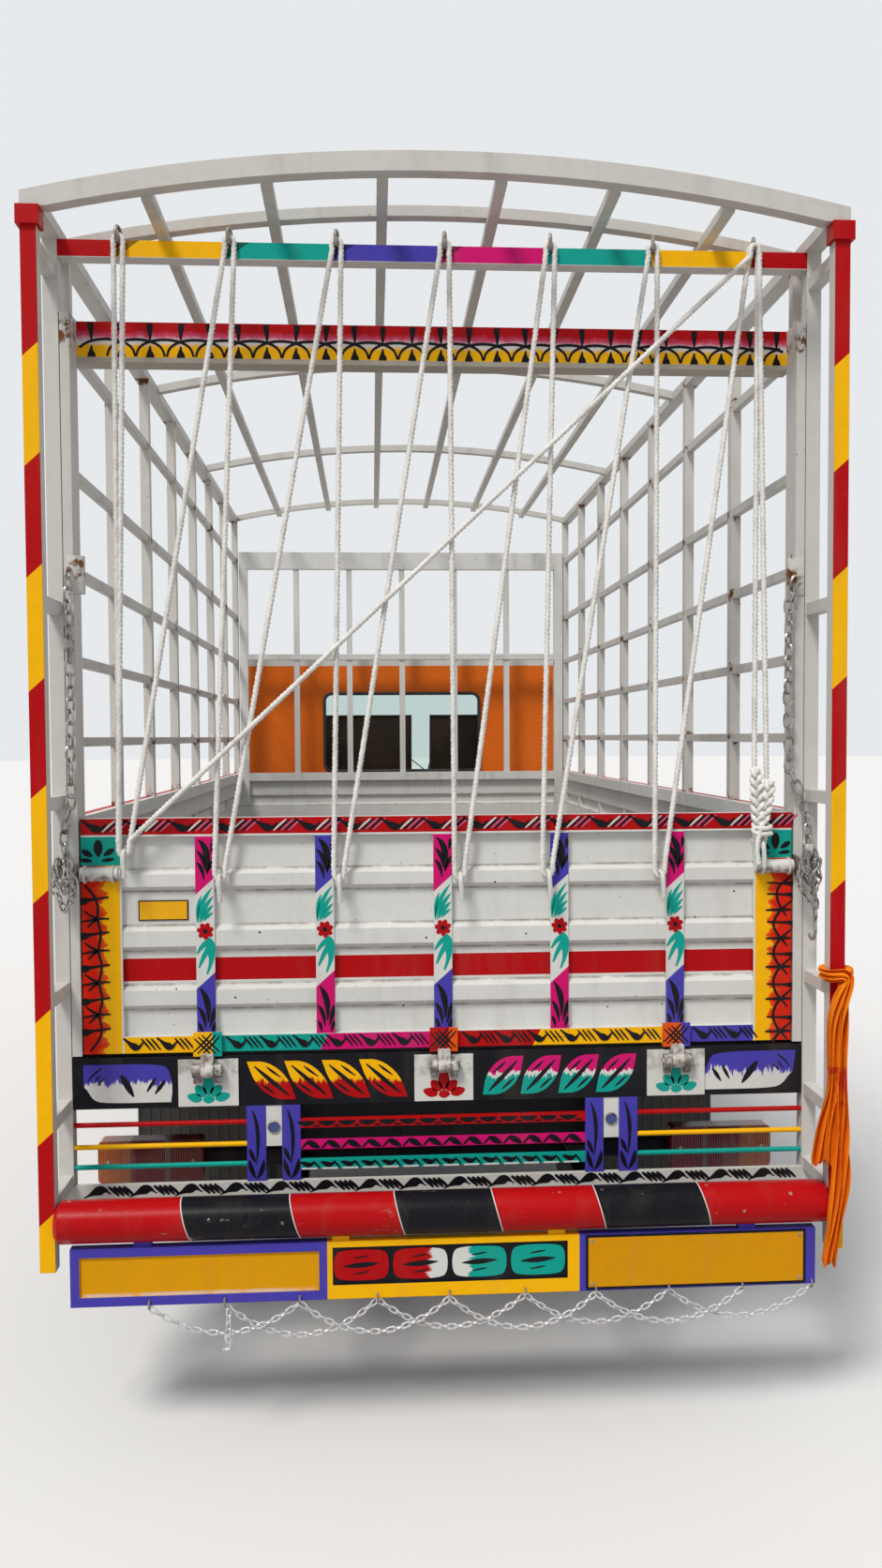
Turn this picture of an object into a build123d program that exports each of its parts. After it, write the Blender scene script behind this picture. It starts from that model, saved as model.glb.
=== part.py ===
from build123d import *
import os
from math import cos, radians, sin, sqrt

# A light goods truck with a high open body, as parked: a flat-faced cab, a ladder
# chassis with two axles, a ribbed steel load body with tube sides, and a drop
# tailgate under a decorated rear frame.
#
# Millimetres. +Y is forward, +X the truck's right, +Z up. The origin is on the
# ground, below the middle of the truck's length and width.

# Overall sizes
truck_length = 5600.0
body_width = 1850.0
cab_width = 1780.0
cab_length = 1590.0
cab_gap = 80.0

# Running gear
tyre_radius = 375.0
tyre_width = 190.0
rim_seat_radius = 205.0
front_wheel_x = 765.0
kingpin_x = 640.0
twin_spacing = 225.0
rear_outer_wheel_x = 815.0
front_axle_setback = 970.0
rear_axle_from_tail = 1295.0
pin_play = 0.08
run_gap = 6.0

# Chassis
rail_outer_x = 380.0
rail_flange = 60.0
rail_depth = 170.0
rail_top_z = 760.0
rail_wall = 7.0

# Load body
floor_top_z = 885.0
floor_sheet = 6.0
wear_sheet = 4.0
wear_gap = 3.0
bearer_depth = 60.0
side_rail_depth = 65.0
wall_top_z = 1456.0
wall_thickness = 45.0
bulkhead_depth = 45.0
body_rail_height = 43.0
sheet_wall = 3.0
rib_depth = 14.0
post_size = 35.0
cage_tube = 30.0
top_rail_z = 2815.0

# Rear frame, by the distance in front of the posts' rear faces
bumper_overhang = 30.0
tail_from_posts = 175.0
post_foot_z = 438.0
front_post_foot_z = 500.0
tail_gap = 5.0
pillar_wall = 23.0
crossbar_low_z = 2775.0
arch_rise = 101.0
arch_tube = 28.0
arch_height = 45.0
lintel_low_z = 2560.0
lintel_high_z = 2650.0

# Tailgate
tail_low_z = 890.0
tail_column = 95.0
strap_width = 45.0
hinge_z = 850.0
hinge_setback = 21.0
hinge_pin_radius = 7.0
hinge_ear_radius = 17.0

# Cab
skirt_z = 560.0
belt_z = 1330.0
roof_z = 2130.0
cab_wall = 45.0
cab_floor_z = 905.0
cab_floor_sheet = 30.0
arch_radius = 470.0
glass_depth = 18.0
glass_thickness = 6.0
door_gap = 9.0

# Places that follow from the sizes above
rear_y = -truck_length / 2
front_y = truck_length / 2
half_body = body_width / 2
wall_inner_x = half_body - wall_thickness
post_outer_x = half_body + 5
post_inner_x = post_outer_x - post_size
pillar_inner_x = post_inner_x - 2 - pillar_wall
tail_half = pillar_inner_x - tail_gap
post_y = rear_y + bumper_overhang
tail_y = post_y + tail_from_posts
tail_front_y = tail_y + wall_thickness
hinge_y = tail_y - hinge_setback
sill_front_y = tail_y + 50
pillar_front_y = tail_y + 70
wall_rear_y = pillar_front_y
cab_front_y = front_y - 80
cab_rear_y = cab_front_y - cab_length
body_front_y = cab_rear_y - cab_gap
cab_half = cab_width / 2
front_axle_y = cab_front_y - front_axle_setback
rear_axle_y = tail_y + rear_axle_from_tail
axle_z = tyre_radius
rail_low_z = rail_top_z - rail_depth
rail_inner_x = rail_outer_x - rail_flange
floor_low_z = cab_floor_z - cab_floor_sheet
rear_inner_wheel_x = rear_outer_wheel_x - twin_spacing
sides = (("right", 1), ("left", -1))

os.makedirs("parts", exist_ok=True)


def block(x0, x1, y0, y1, z0, z1, mode=Mode.ADD):
    """A plate or a bar between two corners."""
    with Locations(((x0 + x1) / 2, (y0 + y1) / 2, (z0 + z1) / 2)):
        Box(abs(x1 - x0), abs(y1 - y0), abs(z1 - z0), mode=mode)


def rod_x(x0, x1, y, z, radius, mode=Mode.ADD):
    """A round bar along X."""
    with Locations(Location(((x0 + x1) / 2, y, z), (0, 90, 0))):
        Cylinder(radius, abs(x1 - x0), mode=mode)


def rod_y(x, y0, y1, z, radius, mode=Mode.ADD):
    """A round bar along Y."""
    with Locations(Location((x, (y0 + y1) / 2, z), (90, 0, 0))):
        Cylinder(radius, abs(y1 - y0), mode=mode)


def rod_z(x, y, z0, z1, radius, mode=Mode.ADD):
    """A round bar along Z."""
    with Locations((x, y, (z0 + z1) / 2)):
        Cylinder(radius, abs(z1 - z0), mode=mode)


def back_plane(y):
    """A plane facing the rear, whose sketch has X to the right and Z up."""
    return Plane(origin=(0, y, 0), x_dir=(1, 0, 0), z_dir=(0, -1, 0))


def side_plane(x):
    """A plane facing the truck's right, whose sketch has Y and Z."""
    return Plane(origin=(x, 0, 0), x_dir=(0, 1, 0), z_dir=(1, 0, 0))


def evenly(first, last, count):
    """Places from first to last with equal steps."""
    return [first + (last - first) * i / (count - 1) for i in range(count)]


# Chassis frame: two channel rails, open inwards, joined by channel cross members.
rail_rear_y = sill_front_y
rail_front_y = cab_front_y - 70
bumper_web_y = front_y - 8
horn_low_z = 490.0
horn_top_z = skirt_z - 8
lamp_bar_y = tail_y + 240
cab_mounts_y = (cab_rear_y + 100, cab_front_y - 220)
cross_members_y = [rail_rear_y + 60, rear_axle_y - 620, rear_axle_y + 620, -150.0, 800.0, 1340.0]
with BuildPart() as chassis_frame:
    for _, side in sides:
        block(side * (rail_outer_x - rail_wall), side * rail_outer_x,
              rail_rear_y, rail_front_y, rail_low_z, rail_top_z)
        for low in (rail_low_z, rail_top_z - rail_wall):
            block(side * rail_inner_x, side * (rail_outer_x - rail_wall),
                  rail_rear_y, rail_front_y, low, low + rail_wall)
        horn_inner_x = rail_outer_x - 45
        with BuildSketch(side_plane(side * horn_inner_x)):
            with BuildLine():
                Polyline((rail_front_y - 220, rail_low_z), (rail_front_y - 150, horn_low_z),
                         (bumper_web_y, horn_low_z), (bumper_web_y, horn_top_z),
                         (rail_front_y - 60, horn_top_z), (rail_front_y - 60, rail_low_z),
                         close=True)
            make_face()
        extrude(amount=side * 40)
    for y in cross_members_y:
        block(-(rail_outer_x - rail_wall), rail_outer_x - rail_wall, y - 4, y + 4,
              rail_low_z + 25, rail_top_z - 25)
        for low in (rail_low_z + 25, rail_top_z - 32):
            block(-(rail_outer_x - rail_wall), rail_outer_x - rail_wall, y + 4, y + 50,
                  low, low + 7)
    for y in cab_mounts_y:
        for _, side in sides:
            rod_z(side * (rail_outer_x - rail_flange / 2), y, rail_top_z, floor_low_z, 28)
chassis_frame.part.label = "chassis_frame"
export_step(chassis_frame.part, "parts/chassis_frame.step")

# Engine: one plain block between the rails under the cab floor.
engine_rear_y = front_axle_y - 20
engine_front_y = cab_front_y - 330
engine_half = 215.0
engine_low_z = 500.0
with BuildPart() as engine_block:
    block(-engine_half, engine_half, engine_rear_y, engine_front_y, engine_low_z,
          cab_floor_z - cab_floor_sheet - 25)
    fillet(engine_block.edges().filter_by(Axis.Y), 40)
    for x in (-1, 1):
        block(x * engine_half, x * (rail_outer_x - rail_wall),
              engine_rear_y + 120, engine_rear_y + 200, rail_low_z + 30, rail_low_z + 70)
engine_block.part.label = "engine_block"
export_step(engine_block.part, "parts/engine_block.step")

# Rear axle: a tube with a round gear case, a spindle and a drum plate at each end.
axle_tube_radius = 48.0
case_radius = 165.0
spindle_radius = 30.0
hub_bore_radius = spindle_radius + pin_play
rear_backplate_x = rear_inner_wheel_x - 150
drum_radius = 165.0
with BuildPart() as rear_axle:
    with BuildSketch(Plane(origin=(0, rear_axle_y, axle_z), x_dir=(1, 0, 0), z_dir=(0, -1, 0))):
        with BuildLine():
            Polyline((-rear_outer_wheel_x + 20, 0), (-rear_outer_wheel_x + 20, spindle_radius),
                     (-rear_backplate_x - 12, spindle_radius), (-rear_backplate_x - 12, drum_radius + 6),
                     (-rear_backplate_x, drum_radius + 6), (-rear_backplate_x, axle_tube_radius),
                     (-190, axle_tube_radius), (-90, case_radius), (90, case_radius),
                     (190, axle_tube_radius), (rear_backplate_x, axle_tube_radius),
                     (rear_backplate_x, drum_radius + 6), (rear_backplate_x + 12, drum_radius + 6),
                     (rear_backplate_x + 12, spindle_radius), (rear_outer_wheel_x - 20, spindle_radius),
                     (rear_outer_wheel_x - 20, 0), close=True)
        make_face()
    revolve(axis=Axis((0, rear_axle_y, axle_z), (1, 0, 0)))
    rod_y(0, rear_axle_y + 100, rear_axle_y + 260, axle_z + 10, 60)
rear_axle.part.label = "rear_axle"
export_step(rear_axle.part, "parts/rear_axle.step")

# Propeller shaft from the engine's tail to the nose of the rear axle.
shaft_radius = 38.0
shaft_front = Vector(0, engine_rear_y, rail_low_z + 10)
shaft_rear = Vector(0, rear_axle_y + 260, axle_z + 10)
with BuildPart() as driveshaft:
    with BuildSketch(Plane(origin=shaft_rear, z_dir=(shaft_front - shaft_rear))):
        Circle(shaft_radius)
    extrude(amount=(shaft_front - shaft_rear).length + 60, both=True)
    split(bisect_by=Plane(origin=(0, shaft_rear.Y, 0), z_dir=(0, 1, 0)))
    split(bisect_by=Plane(origin=(0, shaft_front.Y, 0), z_dir=(0, -1, 0)))
driveshaft.part.label = "driveshaft"
export_step(driveshaft.part, "parts/driveshaft.step")

# Leaf springs: packs of bent leaves below the rails, shorter towards the bottom.
spring_width = 62.0
spring_x = rail_outer_x - 33
leaf = 9.0
spring_table = (  # name, axle_y, half_span, leaf_count, seat_z on the axle
    ("rear", rear_axle_y, 590.0, 6, axle_z + axle_tube_radius),
    ("front", front_axle_y, 520.0, 4, axle_z + 5),
)
with BuildPart() as leaf_springs:
    for _, side in sides:
        for _, axle_y, half_span, leaf_count, seat_z in spring_table:
            eye_z = rail_low_z - 38
            base_z = seat_z + leaf * leaf_count
            for number in range(leaf_count):
                share = 1 - 0.14 * number
                reach = half_span * share
                rise = (eye_z - base_z) * share * share
                low = base_z - leaf * number
                with BuildSketch(side_plane(side * spring_x - spring_width / 2)):
                    with BuildLine():
                        ThreePointArc((axle_y - reach, low + rise), (axle_y, low),
                                      (axle_y + reach, low + rise))
                        Line((axle_y + reach, low + rise), (axle_y + reach, low + rise - leaf))
                        ThreePointArc((axle_y + reach, low + rise - leaf), (axle_y, low - leaf),
                                      (axle_y - reach, low + rise - leaf))
                        Line((axle_y - reach, low + rise - leaf), (axle_y - reach, low + rise))
                    make_face()
                extrude(amount=spring_width)
            for end in (-1, 1):
                end_y = axle_y + end * half_span
                block(side * spring_x - spring_width / 2, side * spring_x + spring_width / 2,
                      end_y - 22, end_y + 22, eye_z - 20, rail_low_z)
leaf_springs.part.label = "leaf_springs"
export_step(leaf_springs.part, "parts/leaf_springs.step")

# Front axle: a dropped beam between the two kingpins, which it holds.
beam_drop = 70.0
kingpin_radius = 16.0
kingpin_boss_radius = 34.0
kingpin_boss_half = 38.0
yoke_gap = 1.0
with BuildPart() as front_axle:
    with BuildSketch(back_plane(front_axle_y + 32)):
        with BuildLine():
            Polyline((-kingpin_x + 12, axle_z + 36), (-kingpin_x + 90, axle_z + 36),
                     (-spring_x - 60, axle_z + 5), (spring_x + 60, axle_z + 5),
                     (kingpin_x - 90, axle_z + 36), (kingpin_x - 12, axle_z + 36),
                     (kingpin_x - 12, axle_z - 36), (kingpin_x - 90, axle_z - 36),
                     (spring_x + 60, axle_z - beam_drop), (-spring_x - 60, axle_z - beam_drop),
                     (-kingpin_x + 90, axle_z - 36), (-kingpin_x + 12, axle_z - 36), close=True)
        make_face()
    extrude(amount=64)
    for _, side in sides:
        rod_z(side * kingpin_x, front_axle_y, axle_z - kingpin_boss_half,
              axle_z + kingpin_boss_half, kingpin_boss_radius)
        rod_z(side * kingpin_x, front_axle_y, axle_z - 84, axle_z + 84, kingpin_radius)
        for face in (-1, 1):
            block(side * (spring_x + 75), side * (kingpin_x - 100), front_axle_y + face * 12,
                  front_axle_y + face * 33, axle_z - 60, axle_z + 40, mode=Mode.SUBTRACT)
front_axle.part.label = "front_axle"
export_step(front_axle.part, "parts/front_axle.step")

# Knuckles: a yoke round each beam end, a spindle for the wheel and an arm that the
# track rod joins.
arm_length = 150.0
arm_z = axle_z - 62
rod_eye_x = kingpin_x - 30
for side_name, side in sides:
    with BuildPart() as knuckle:
        yoke_face = kingpin_boss_half + yoke_gap
        for low, high in ((-yoke_face - 26, -yoke_face), (yoke_face, yoke_face + 26)):
            rod_z(side * kingpin_x, front_axle_y, axle_z + low, axle_z + high,
                  kingpin_boss_radius - 2)
            block(side * kingpin_x, side * (kingpin_x + 62), front_axle_y - 28,
                  front_axle_y + 28, axle_z + low, axle_z + high)
        block(side * (kingpin_x + 40), side * (kingpin_x + 62), front_axle_y - 28,
              front_axle_y + 28, axle_z - yoke_face - 26, axle_z + yoke_face + 26)
        rod_x(side * (kingpin_x + 62), side * (kingpin_x + 70), front_axle_y, axle_z,
              drum_radius - 10)
        rod_x(side * (kingpin_x + 70), side * (front_wheel_x + 55), front_axle_y, axle_z,
              spindle_radius)
        rod_z(side * kingpin_x, front_axle_y, axle_z - 90, axle_z + 90,
              kingpin_radius + pin_play, mode=Mode.SUBTRACT)
        with BuildSketch(Plane.XY.offset(arm_z - 3)):
            with BuildLine():
                Polyline((side * (kingpin_x + 20), front_axle_y - 30),
                         (side * (kingpin_x - 20), front_axle_y - 30),
                         (side * (rod_eye_x - 18), front_axle_y - arm_length),
                         (side * (rod_eye_x + 18), front_axle_y - arm_length), close=True)
            make_face()
        extrude(amount=18)
        rod_z(side * rod_eye_x, front_axle_y - arm_length, arm_z - 3, arm_z + 15, 24)
    knuckle.part.label = f"knuckle_{side_name}"
    export_step(knuckle.part, f"parts/knuckle_{side_name}.step")

# Track rod: a tube across the truck whose flat eyes lie on the two knuckle arms.
rod_eye_gap = 0.6
with BuildPart() as track_rod:
    rod_x(-rod_eye_x, rod_eye_x, front_axle_y - arm_length, arm_z + 15 + rod_eye_gap + 16, 14)
    for _, side in sides:
        rod_z(side * rod_eye_x, front_axle_y - arm_length, arm_z + 15 + rod_eye_gap,
              arm_z + 15 + rod_eye_gap + 32, 24)
track_rod.part.label = "track_rod"
export_step(track_rod.part, "parts/track_rod.step")


tyre_wall = tyre_radius - rim_seat_radius
shoulder_z = tyre_radius - tyre_wall * 0.16
sidewall_z = tyre_radius - tyre_wall * 0.48
liner_z = tyre_radius - tyre_wall * 0.20
rim_lip = 14.0


def tyre_at(wheel_x):
    """One hollow tyre, open at its beads, round the axis X at the place in use."""
    half = tyre_width / 2
    crown = tyre_radius
    bead = rim_seat_radius
    with BuildLine() as outline:
        Polyline((wheel_x - half * 0.74, crown), (wheel_x + half * 0.74, crown),
                 (wheel_x + half * 0.95, shoulder_z), (wheel_x + half, sidewall_z),
                 (wheel_x + half * 0.74, bead + rim_lip + 2), (wheel_x + half * 0.55, bead + 0.3),
                 (wheel_x + half * 0.6, bead + 20), (wheel_x + half * 0.84, sidewall_z),
                 (wheel_x + half * 0.78, liner_z), (wheel_x - half * 0.78, liner_z),
                 (wheel_x - half * 0.84, sidewall_z), (wheel_x - half * 0.6, bead + 20),
                 (wheel_x - half * 0.55, bead + 0.3), (wheel_x - half * 0.74, bead + rim_lip + 2),
                 (wheel_x - half, sidewall_z), (wheel_x - half * 0.95, shoulder_z), close=True)
    make_face(outline.line)


disc_wall = 10.0


def rim_section(wheel_x, out, disc_offset, hub_reach):
    """A steel rim with its dished disc and hub; out is +1 where the disc faces +X."""
    half = tyre_width / 2 * 0.74
    seat = rim_seat_radius
    well = seat - 24
    with BuildLine() as outline:
        Polyline((wheel_x - half - 8, seat + rim_lip), (wheel_x - half - 8, seat - 5),
                 (wheel_x - half * 0.56, seat - 5), (wheel_x - half * 0.42, well),
                 (wheel_x + half * 0.42, well), (wheel_x + half * 0.56, seat - 5),
                 (wheel_x + half + 8, seat - 5), (wheel_x + half + 8, seat + rim_lip),
                 (wheel_x + half + 3, seat + rim_lip), (wheel_x + half + 3, seat),
                 (wheel_x + half * 0.5, seat), (wheel_x + half * 0.35, well + 5),
                 (wheel_x - half * 0.35, well + 5), (wheel_x - half * 0.5, seat),
                 (wheel_x - half - 3, seat), (wheel_x - half - 3, seat + rim_lip), close=True)
    make_face(outline.line)
    disc = wheel_x + out * disc_offset
    with BuildLine() as outline:
        Polyline((disc, hub_bore_radius), (disc, 118), (wheel_x + out * 12, well + 3),
                 (wheel_x, well + 3), (disc - out * disc_wall, 118), (disc - out * disc_wall, 62),
                 (disc - out * hub_reach, 62), (disc - out * hub_reach, hub_bore_radius),
                 close=True)
    make_face(outline.line)


def axle_plane(axle_y):
    """The sketch plane through an axle, with X along it and Z outwards from it."""
    return Plane(origin=(0, axle_y, axle_z), x_dir=(1, 0, 0), z_dir=(0, -1, 0))


# Wheels: single tyres in front, twins behind, on pressed rims with hand holes.
hand_holes = 5
hand_hole_radius = 22.0
hand_hole_circle = 148.0
twin_face = twin_spacing / 2
wheel_table = (  # axle_y, wheels (middle x, disc offset, hub reach), tyre name, rim name
    (front_axle_y, ((front_wheel_x, 30.0, 40.0),), "tyre_front", "rim_front"),
    (rear_axle_y, ((rear_inner_wheel_x, twin_face, 60.0),
                   (rear_outer_wheel_x, twin_face - twin_spacing + disc_wall, 22.0)),
     "tyres_rear", "rims_rear"),
)
for axle_y, wheels, tyre_name, rim_name in wheel_table:
    for side_name, side in sides:
        turn_axis = Axis((0, axle_y, axle_z), (1, 0, 0))
        with BuildPart() as tyre:
            with BuildSketch(axle_plane(axle_y)):
                for wheel_x, _, _ in wheels:
                    tyre_at(side * wheel_x)
            revolve(axis=turn_axis)
        tyre.part.label = f"{tyre_name}_{side_name}"
        export_step(tyre.part, f"parts/{tyre_name}_{side_name}.step")
        with BuildPart() as rim:
            with BuildSketch(axle_plane(axle_y)):
                for wheel_x, offset_x, hub_reach in wheels:
                    rim_section(side * wheel_x, side, offset_x, hub_reach)
            revolve(axis=turn_axis)
            with Locations(Location((0, axle_y, axle_z), (0, 90, 0))):
                with PolarLocations(hand_hole_circle, hand_holes):
                    Cylinder(hand_hole_radius, 3 * body_width, mode=Mode.SUBTRACT)
        rim.part.label = f"{rim_name}_{side_name}"
        export_step(rim.part, f"parts/{rim_name}_{side_name}.step")

# Fuel tank: a rounded box below the left rail, on two hanger straps.
tank_inner_x = rail_outer_x + 25
tank_outer_x = tank_inner_x + 330
tank_rear_y = -420.0
tank_front_y = 330.0
tank_low_z = 440.0
tank_high_z = 730.0
with BuildPart() as fuel_tank:
    block(-tank_outer_x, -tank_inner_x, tank_rear_y, tank_front_y, tank_low_z, tank_high_z)
    fillet(fuel_tank.edges().filter_by(Axis.Y), 55)
    for y in (tank_rear_y + 150, tank_front_y - 150):
        block(-tank_inner_x - 60, -rail_outer_x, y - 25, y + 25, tank_high_z - 30, tank_high_z + 14)
fuel_tank.part.label = "fuel_tank"
export_step(fuel_tank.part, "parts/fuel_tank.step")

# Exhaust: a silencer below the right rail with a tail pipe behind it.
silencer_x = rail_outer_x + 125
silencer_z = 560.0
silencer_half = 350.0
silencer_radius = 95.0
pipe_radius = 28.0
pipe_front_y = 800.0
pipe_tail_y = -620.0
with BuildPart() as exhaust:
    rod_y(silencer_x, -silencer_half, silencer_half, silencer_z, silencer_radius)
    chamfer(exhaust.edges().filter_by(GeomType.CIRCLE), 14)
    rod_y(silencer_x, silencer_half, pipe_front_y, silencer_z, pipe_radius)
    rod_y(silencer_x, pipe_tail_y, -silencer_half, silencer_z, pipe_radius)
    for y in (-silencer_half + 100, silencer_half - 100):
        block(rail_outer_x, silencer_x, y - 15, y + 15, silencer_z + silencer_radius - 7,
              silencer_z + silencer_radius + 23)
exhaust.part.label = "exhaust"
export_step(exhaust.part, "parts/exhaust.step")

# Mud flaps: rubber sheets behind the rear wheels, hung from steel bars.
flap_y = rear_axle_y - tyre_radius - 90
flap_half_width = 200.0
flap_low_z = 230.0
with BuildPart() as mud_flaps:
    for _, side in sides:
        flap_x = side * (rear_inner_wheel_x + twin_spacing / 2 + 3)
        block(flap_x - flap_half_width, flap_x + flap_half_width, flap_y - 5, flap_y + 5,
              flap_low_z, floor_top_z - floor_sheet - bearer_depth)
mud_flaps.part.label = "mud_flaps"
export_step(mud_flaps.part, "parts/mud_flaps.step")

# Load floor: steel sheet on cross bearers and two runners, with a rail at each side
# and a wear sheet between the walls.
bearer_low_z = floor_top_z - floor_sheet - bearer_depth
floor_rear_y = sill_front_y
bearers_y = [floor_rear_y + 30, flap_y, rear_axle_y, rear_axle_y + 480, -330.0, 150.0,
             600.0, body_front_y - 30]
with BuildPart() as load_floor:
    block(-half_body, half_body, floor_rear_y, body_front_y, floor_top_z - floor_sheet, floor_top_z)
    block(-(pillar_inner_x - wear_gap), pillar_inner_x - wear_gap, floor_rear_y,
          body_front_y - bulkhead_depth - wear_gap, floor_top_z, floor_top_z + wear_sheet)
    for _, side in sides:
        block(side * rail_inner_x, side * rail_outer_x, floor_rear_y, body_front_y,
              rail_top_z, bearer_low_z)
        block(side * (half_body - 5), side * half_body, floor_rear_y, body_front_y,
              floor_top_z - side_rail_depth, floor_top_z - floor_sheet)
        block(side * (half_body - 40), side * (half_body - 5), floor_rear_y, body_front_y,
              floor_top_z - side_rail_depth, floor_top_z - side_rail_depth + 5)
    for y in bearers_y:
        block(-(half_body - 5), half_body - 5, y - 22, y - 16, bearer_low_z,
              floor_top_z - floor_sheet)
        block(-(half_body - 5), half_body - 5, y - 16, y + 22, bearer_low_z, bearer_low_z + 6)
load_floor.part.label = "load_floor"
export_step(load_floor.part, "parts/load_floor.step")

# Ribbed sheet, shared by the tailgate, the side walls and the bulkhead: raised bands
# by their lower and upper heights.
rib_bands = ((993.0, 1053.0), (1135.0, 1197.0), (1280.0, 1334.0))
rib_slope = 12.0
sheet_recess = 16.0


def ribbed_outline(low, high, face, out):
    """Section of the ribbed sheet, as across and up; out is +1 where the ribs face +."""
    base = face - out * sheet_recess
    raised = base + out * rib_depth
    front = [(base, low)]
    for rib_low, rib_high in rib_bands:
        front += [(base, rib_low), (raised, rib_low + rib_slope),
                  (raised, rib_high - rib_slope), (base, rib_high)]
    front.append((base, high))
    back = [(across - out * sheet_wall, up) for across, up in reversed(front)]
    return front + back


# Side walls: ribbed sheet in a frame of rails and end posts, with flat straps outside.
side_straps_y = evenly(wall_rear_y + 420, body_front_y - 420, 6)
for side_name, side in sides:
    with BuildPart() as side_wall:
        with BuildSketch(back_plane(wall_rear_y + 40)):
            with BuildLine():
                Polyline(*ribbed_outline(floor_top_z + 20, wall_top_z - 20, side * half_body, side),
                         close=True)
            make_face()
        extrude(amount=-(body_front_y - wall_rear_y - 80))
        for low in (floor_top_z, wall_top_z - body_rail_height):
            block(side * wall_inner_x, side * half_body, wall_rear_y, body_front_y,
                  low, low + body_rail_height)
        for y in (wall_rear_y, body_front_y - 45):
            block(side * wall_inner_x, side * half_body, y, y + 45, floor_top_z + 10, wall_top_z - 10)
        for y in side_straps_y:
            block(side * (half_body - sheet_recess - sheet_wall), side * half_body, y - 22.5,
                  y + 22.5, floor_top_z + 20, wall_top_z - 20)
    side_wall.part.label = f"side_wall_{side_name}"
    export_step(side_wall.part, f"parts/side_wall_{side_name}.step")

# Tube sides above the walls: posts and rails of square tube.
cage_mid_x = half_body - wall_thickness / 2
cage_posts_y = evenly(wall_rear_y + 20, body_front_y - 20, 8)
cage_rails_z = (1640.0, 1840.0, 2060.0, 2300.0, 2605.0)
for side_name, side in sides:
    with BuildPart() as side_grille:
        for y in cage_posts_y:
            block(side * (cage_mid_x - cage_tube / 2), side * (cage_mid_x + cage_tube / 2),
                  y - cage_tube / 2, y + cage_tube / 2, wall_top_z, top_rail_z)
        for z in cage_rails_z:
            block(side * (cage_mid_x - 10), side * (cage_mid_x + 10), cage_posts_y[0],
                  cage_posts_y[-1], z - 12, z + 12)
    side_grille.part.label = f"side_grille_{side_name}"
    export_step(side_grille.part, f"parts/side_grille_{side_name}.step")

# Bulkhead behind the cab: ribbed sheet below, upright tubes above.
bulkhead_half = wall_inner_x
bulkhead_posts_x = evenly(-bulkhead_half + 20, bulkhead_half - 20, 7)
with BuildPart() as front_bulkhead:
    with BuildSketch(side_plane(-bulkhead_half + 20)):
        with BuildLine():
            Polyline(*ribbed_outline(floor_top_z + 20, wall_top_z - 20, body_front_y, 1), close=True)
        make_face()
    extrude(amount=2 * bulkhead_half - 40)
    for low, high in ((floor_top_z, floor_top_z + body_rail_height),
                      (wall_top_z - body_rail_height, wall_top_z),
                      (2070.0, 2100.0), (lintel_low_z, lintel_high_z)):
        block(-bulkhead_half, bulkhead_half, body_front_y - bulkhead_depth, body_front_y, low, high)
    for x in bulkhead_posts_x:
        block(x - 15, x + 15, body_front_y - 38, body_front_y - 8, wall_top_z - 5, lintel_low_z + 5)
    for x in (-bulkhead_half + 22, bulkhead_half - 22):
        block(x - 22, x + 22, body_front_y - bulkhead_depth, body_front_y, floor_top_z,
              lintel_low_z + 5)
front_bulkhead.part.label = "front_bulkhead"
export_step(front_bulkhead.part, "parts/front_bulkhead.step")

# Corner pillars beside the tailgate: angle section, from the sill to the lintel.
with BuildPart() as rear_pillars:
    for _, side in sides:
        block(side * pillar_inner_x, side * (pillar_inner_x + pillar_wall), tail_y,
              pillar_front_y, floor_top_z, lintel_high_z)
        block(side * pillar_inner_x, side * half_body, pillar_front_y - 22, pillar_front_y,
              floor_top_z, lintel_high_z)
rear_pillars.part.label = "rear_pillars"
export_step(rear_pillars.part, "parts/rear_pillars.step")

# Lintel across the pillars at the top of the load opening, with a lip below.
with BuildPart() as lintel:
    block(-pillar_inner_x - 10, pillar_inner_x + 10, pillar_front_y, pillar_front_y + 28,
          lintel_low_z, lintel_high_z)
    block(-pillar_inner_x - 10, pillar_inner_x + 10, pillar_front_y, pillar_front_y + 55,
          lintel_low_z - 6, lintel_low_z)
lintel.part.label = "lintel"
export_step(lintel.part, "parts/lintel.step")

# Rear sill: the black cross beam below the tailgate.
sill_low_z = 756.0
sill_high_z = 880.0
sill_half = post_inner_x - 2
with BuildPart() as rear_sill:
    block(-sill_half, sill_half, tail_y, tail_y + 8, sill_low_z, sill_high_z)
    block(-sill_half, sill_half, tail_y + 8, sill_front_y, sill_high_z - 8, sill_high_z)
    block(-sill_half, sill_half, tail_y + 8, sill_front_y, sill_low_z, sill_low_z + 8)
rear_sill.part.label = "rear_sill"
export_step(rear_sill.part, "parts/rear_sill.step")

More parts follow.
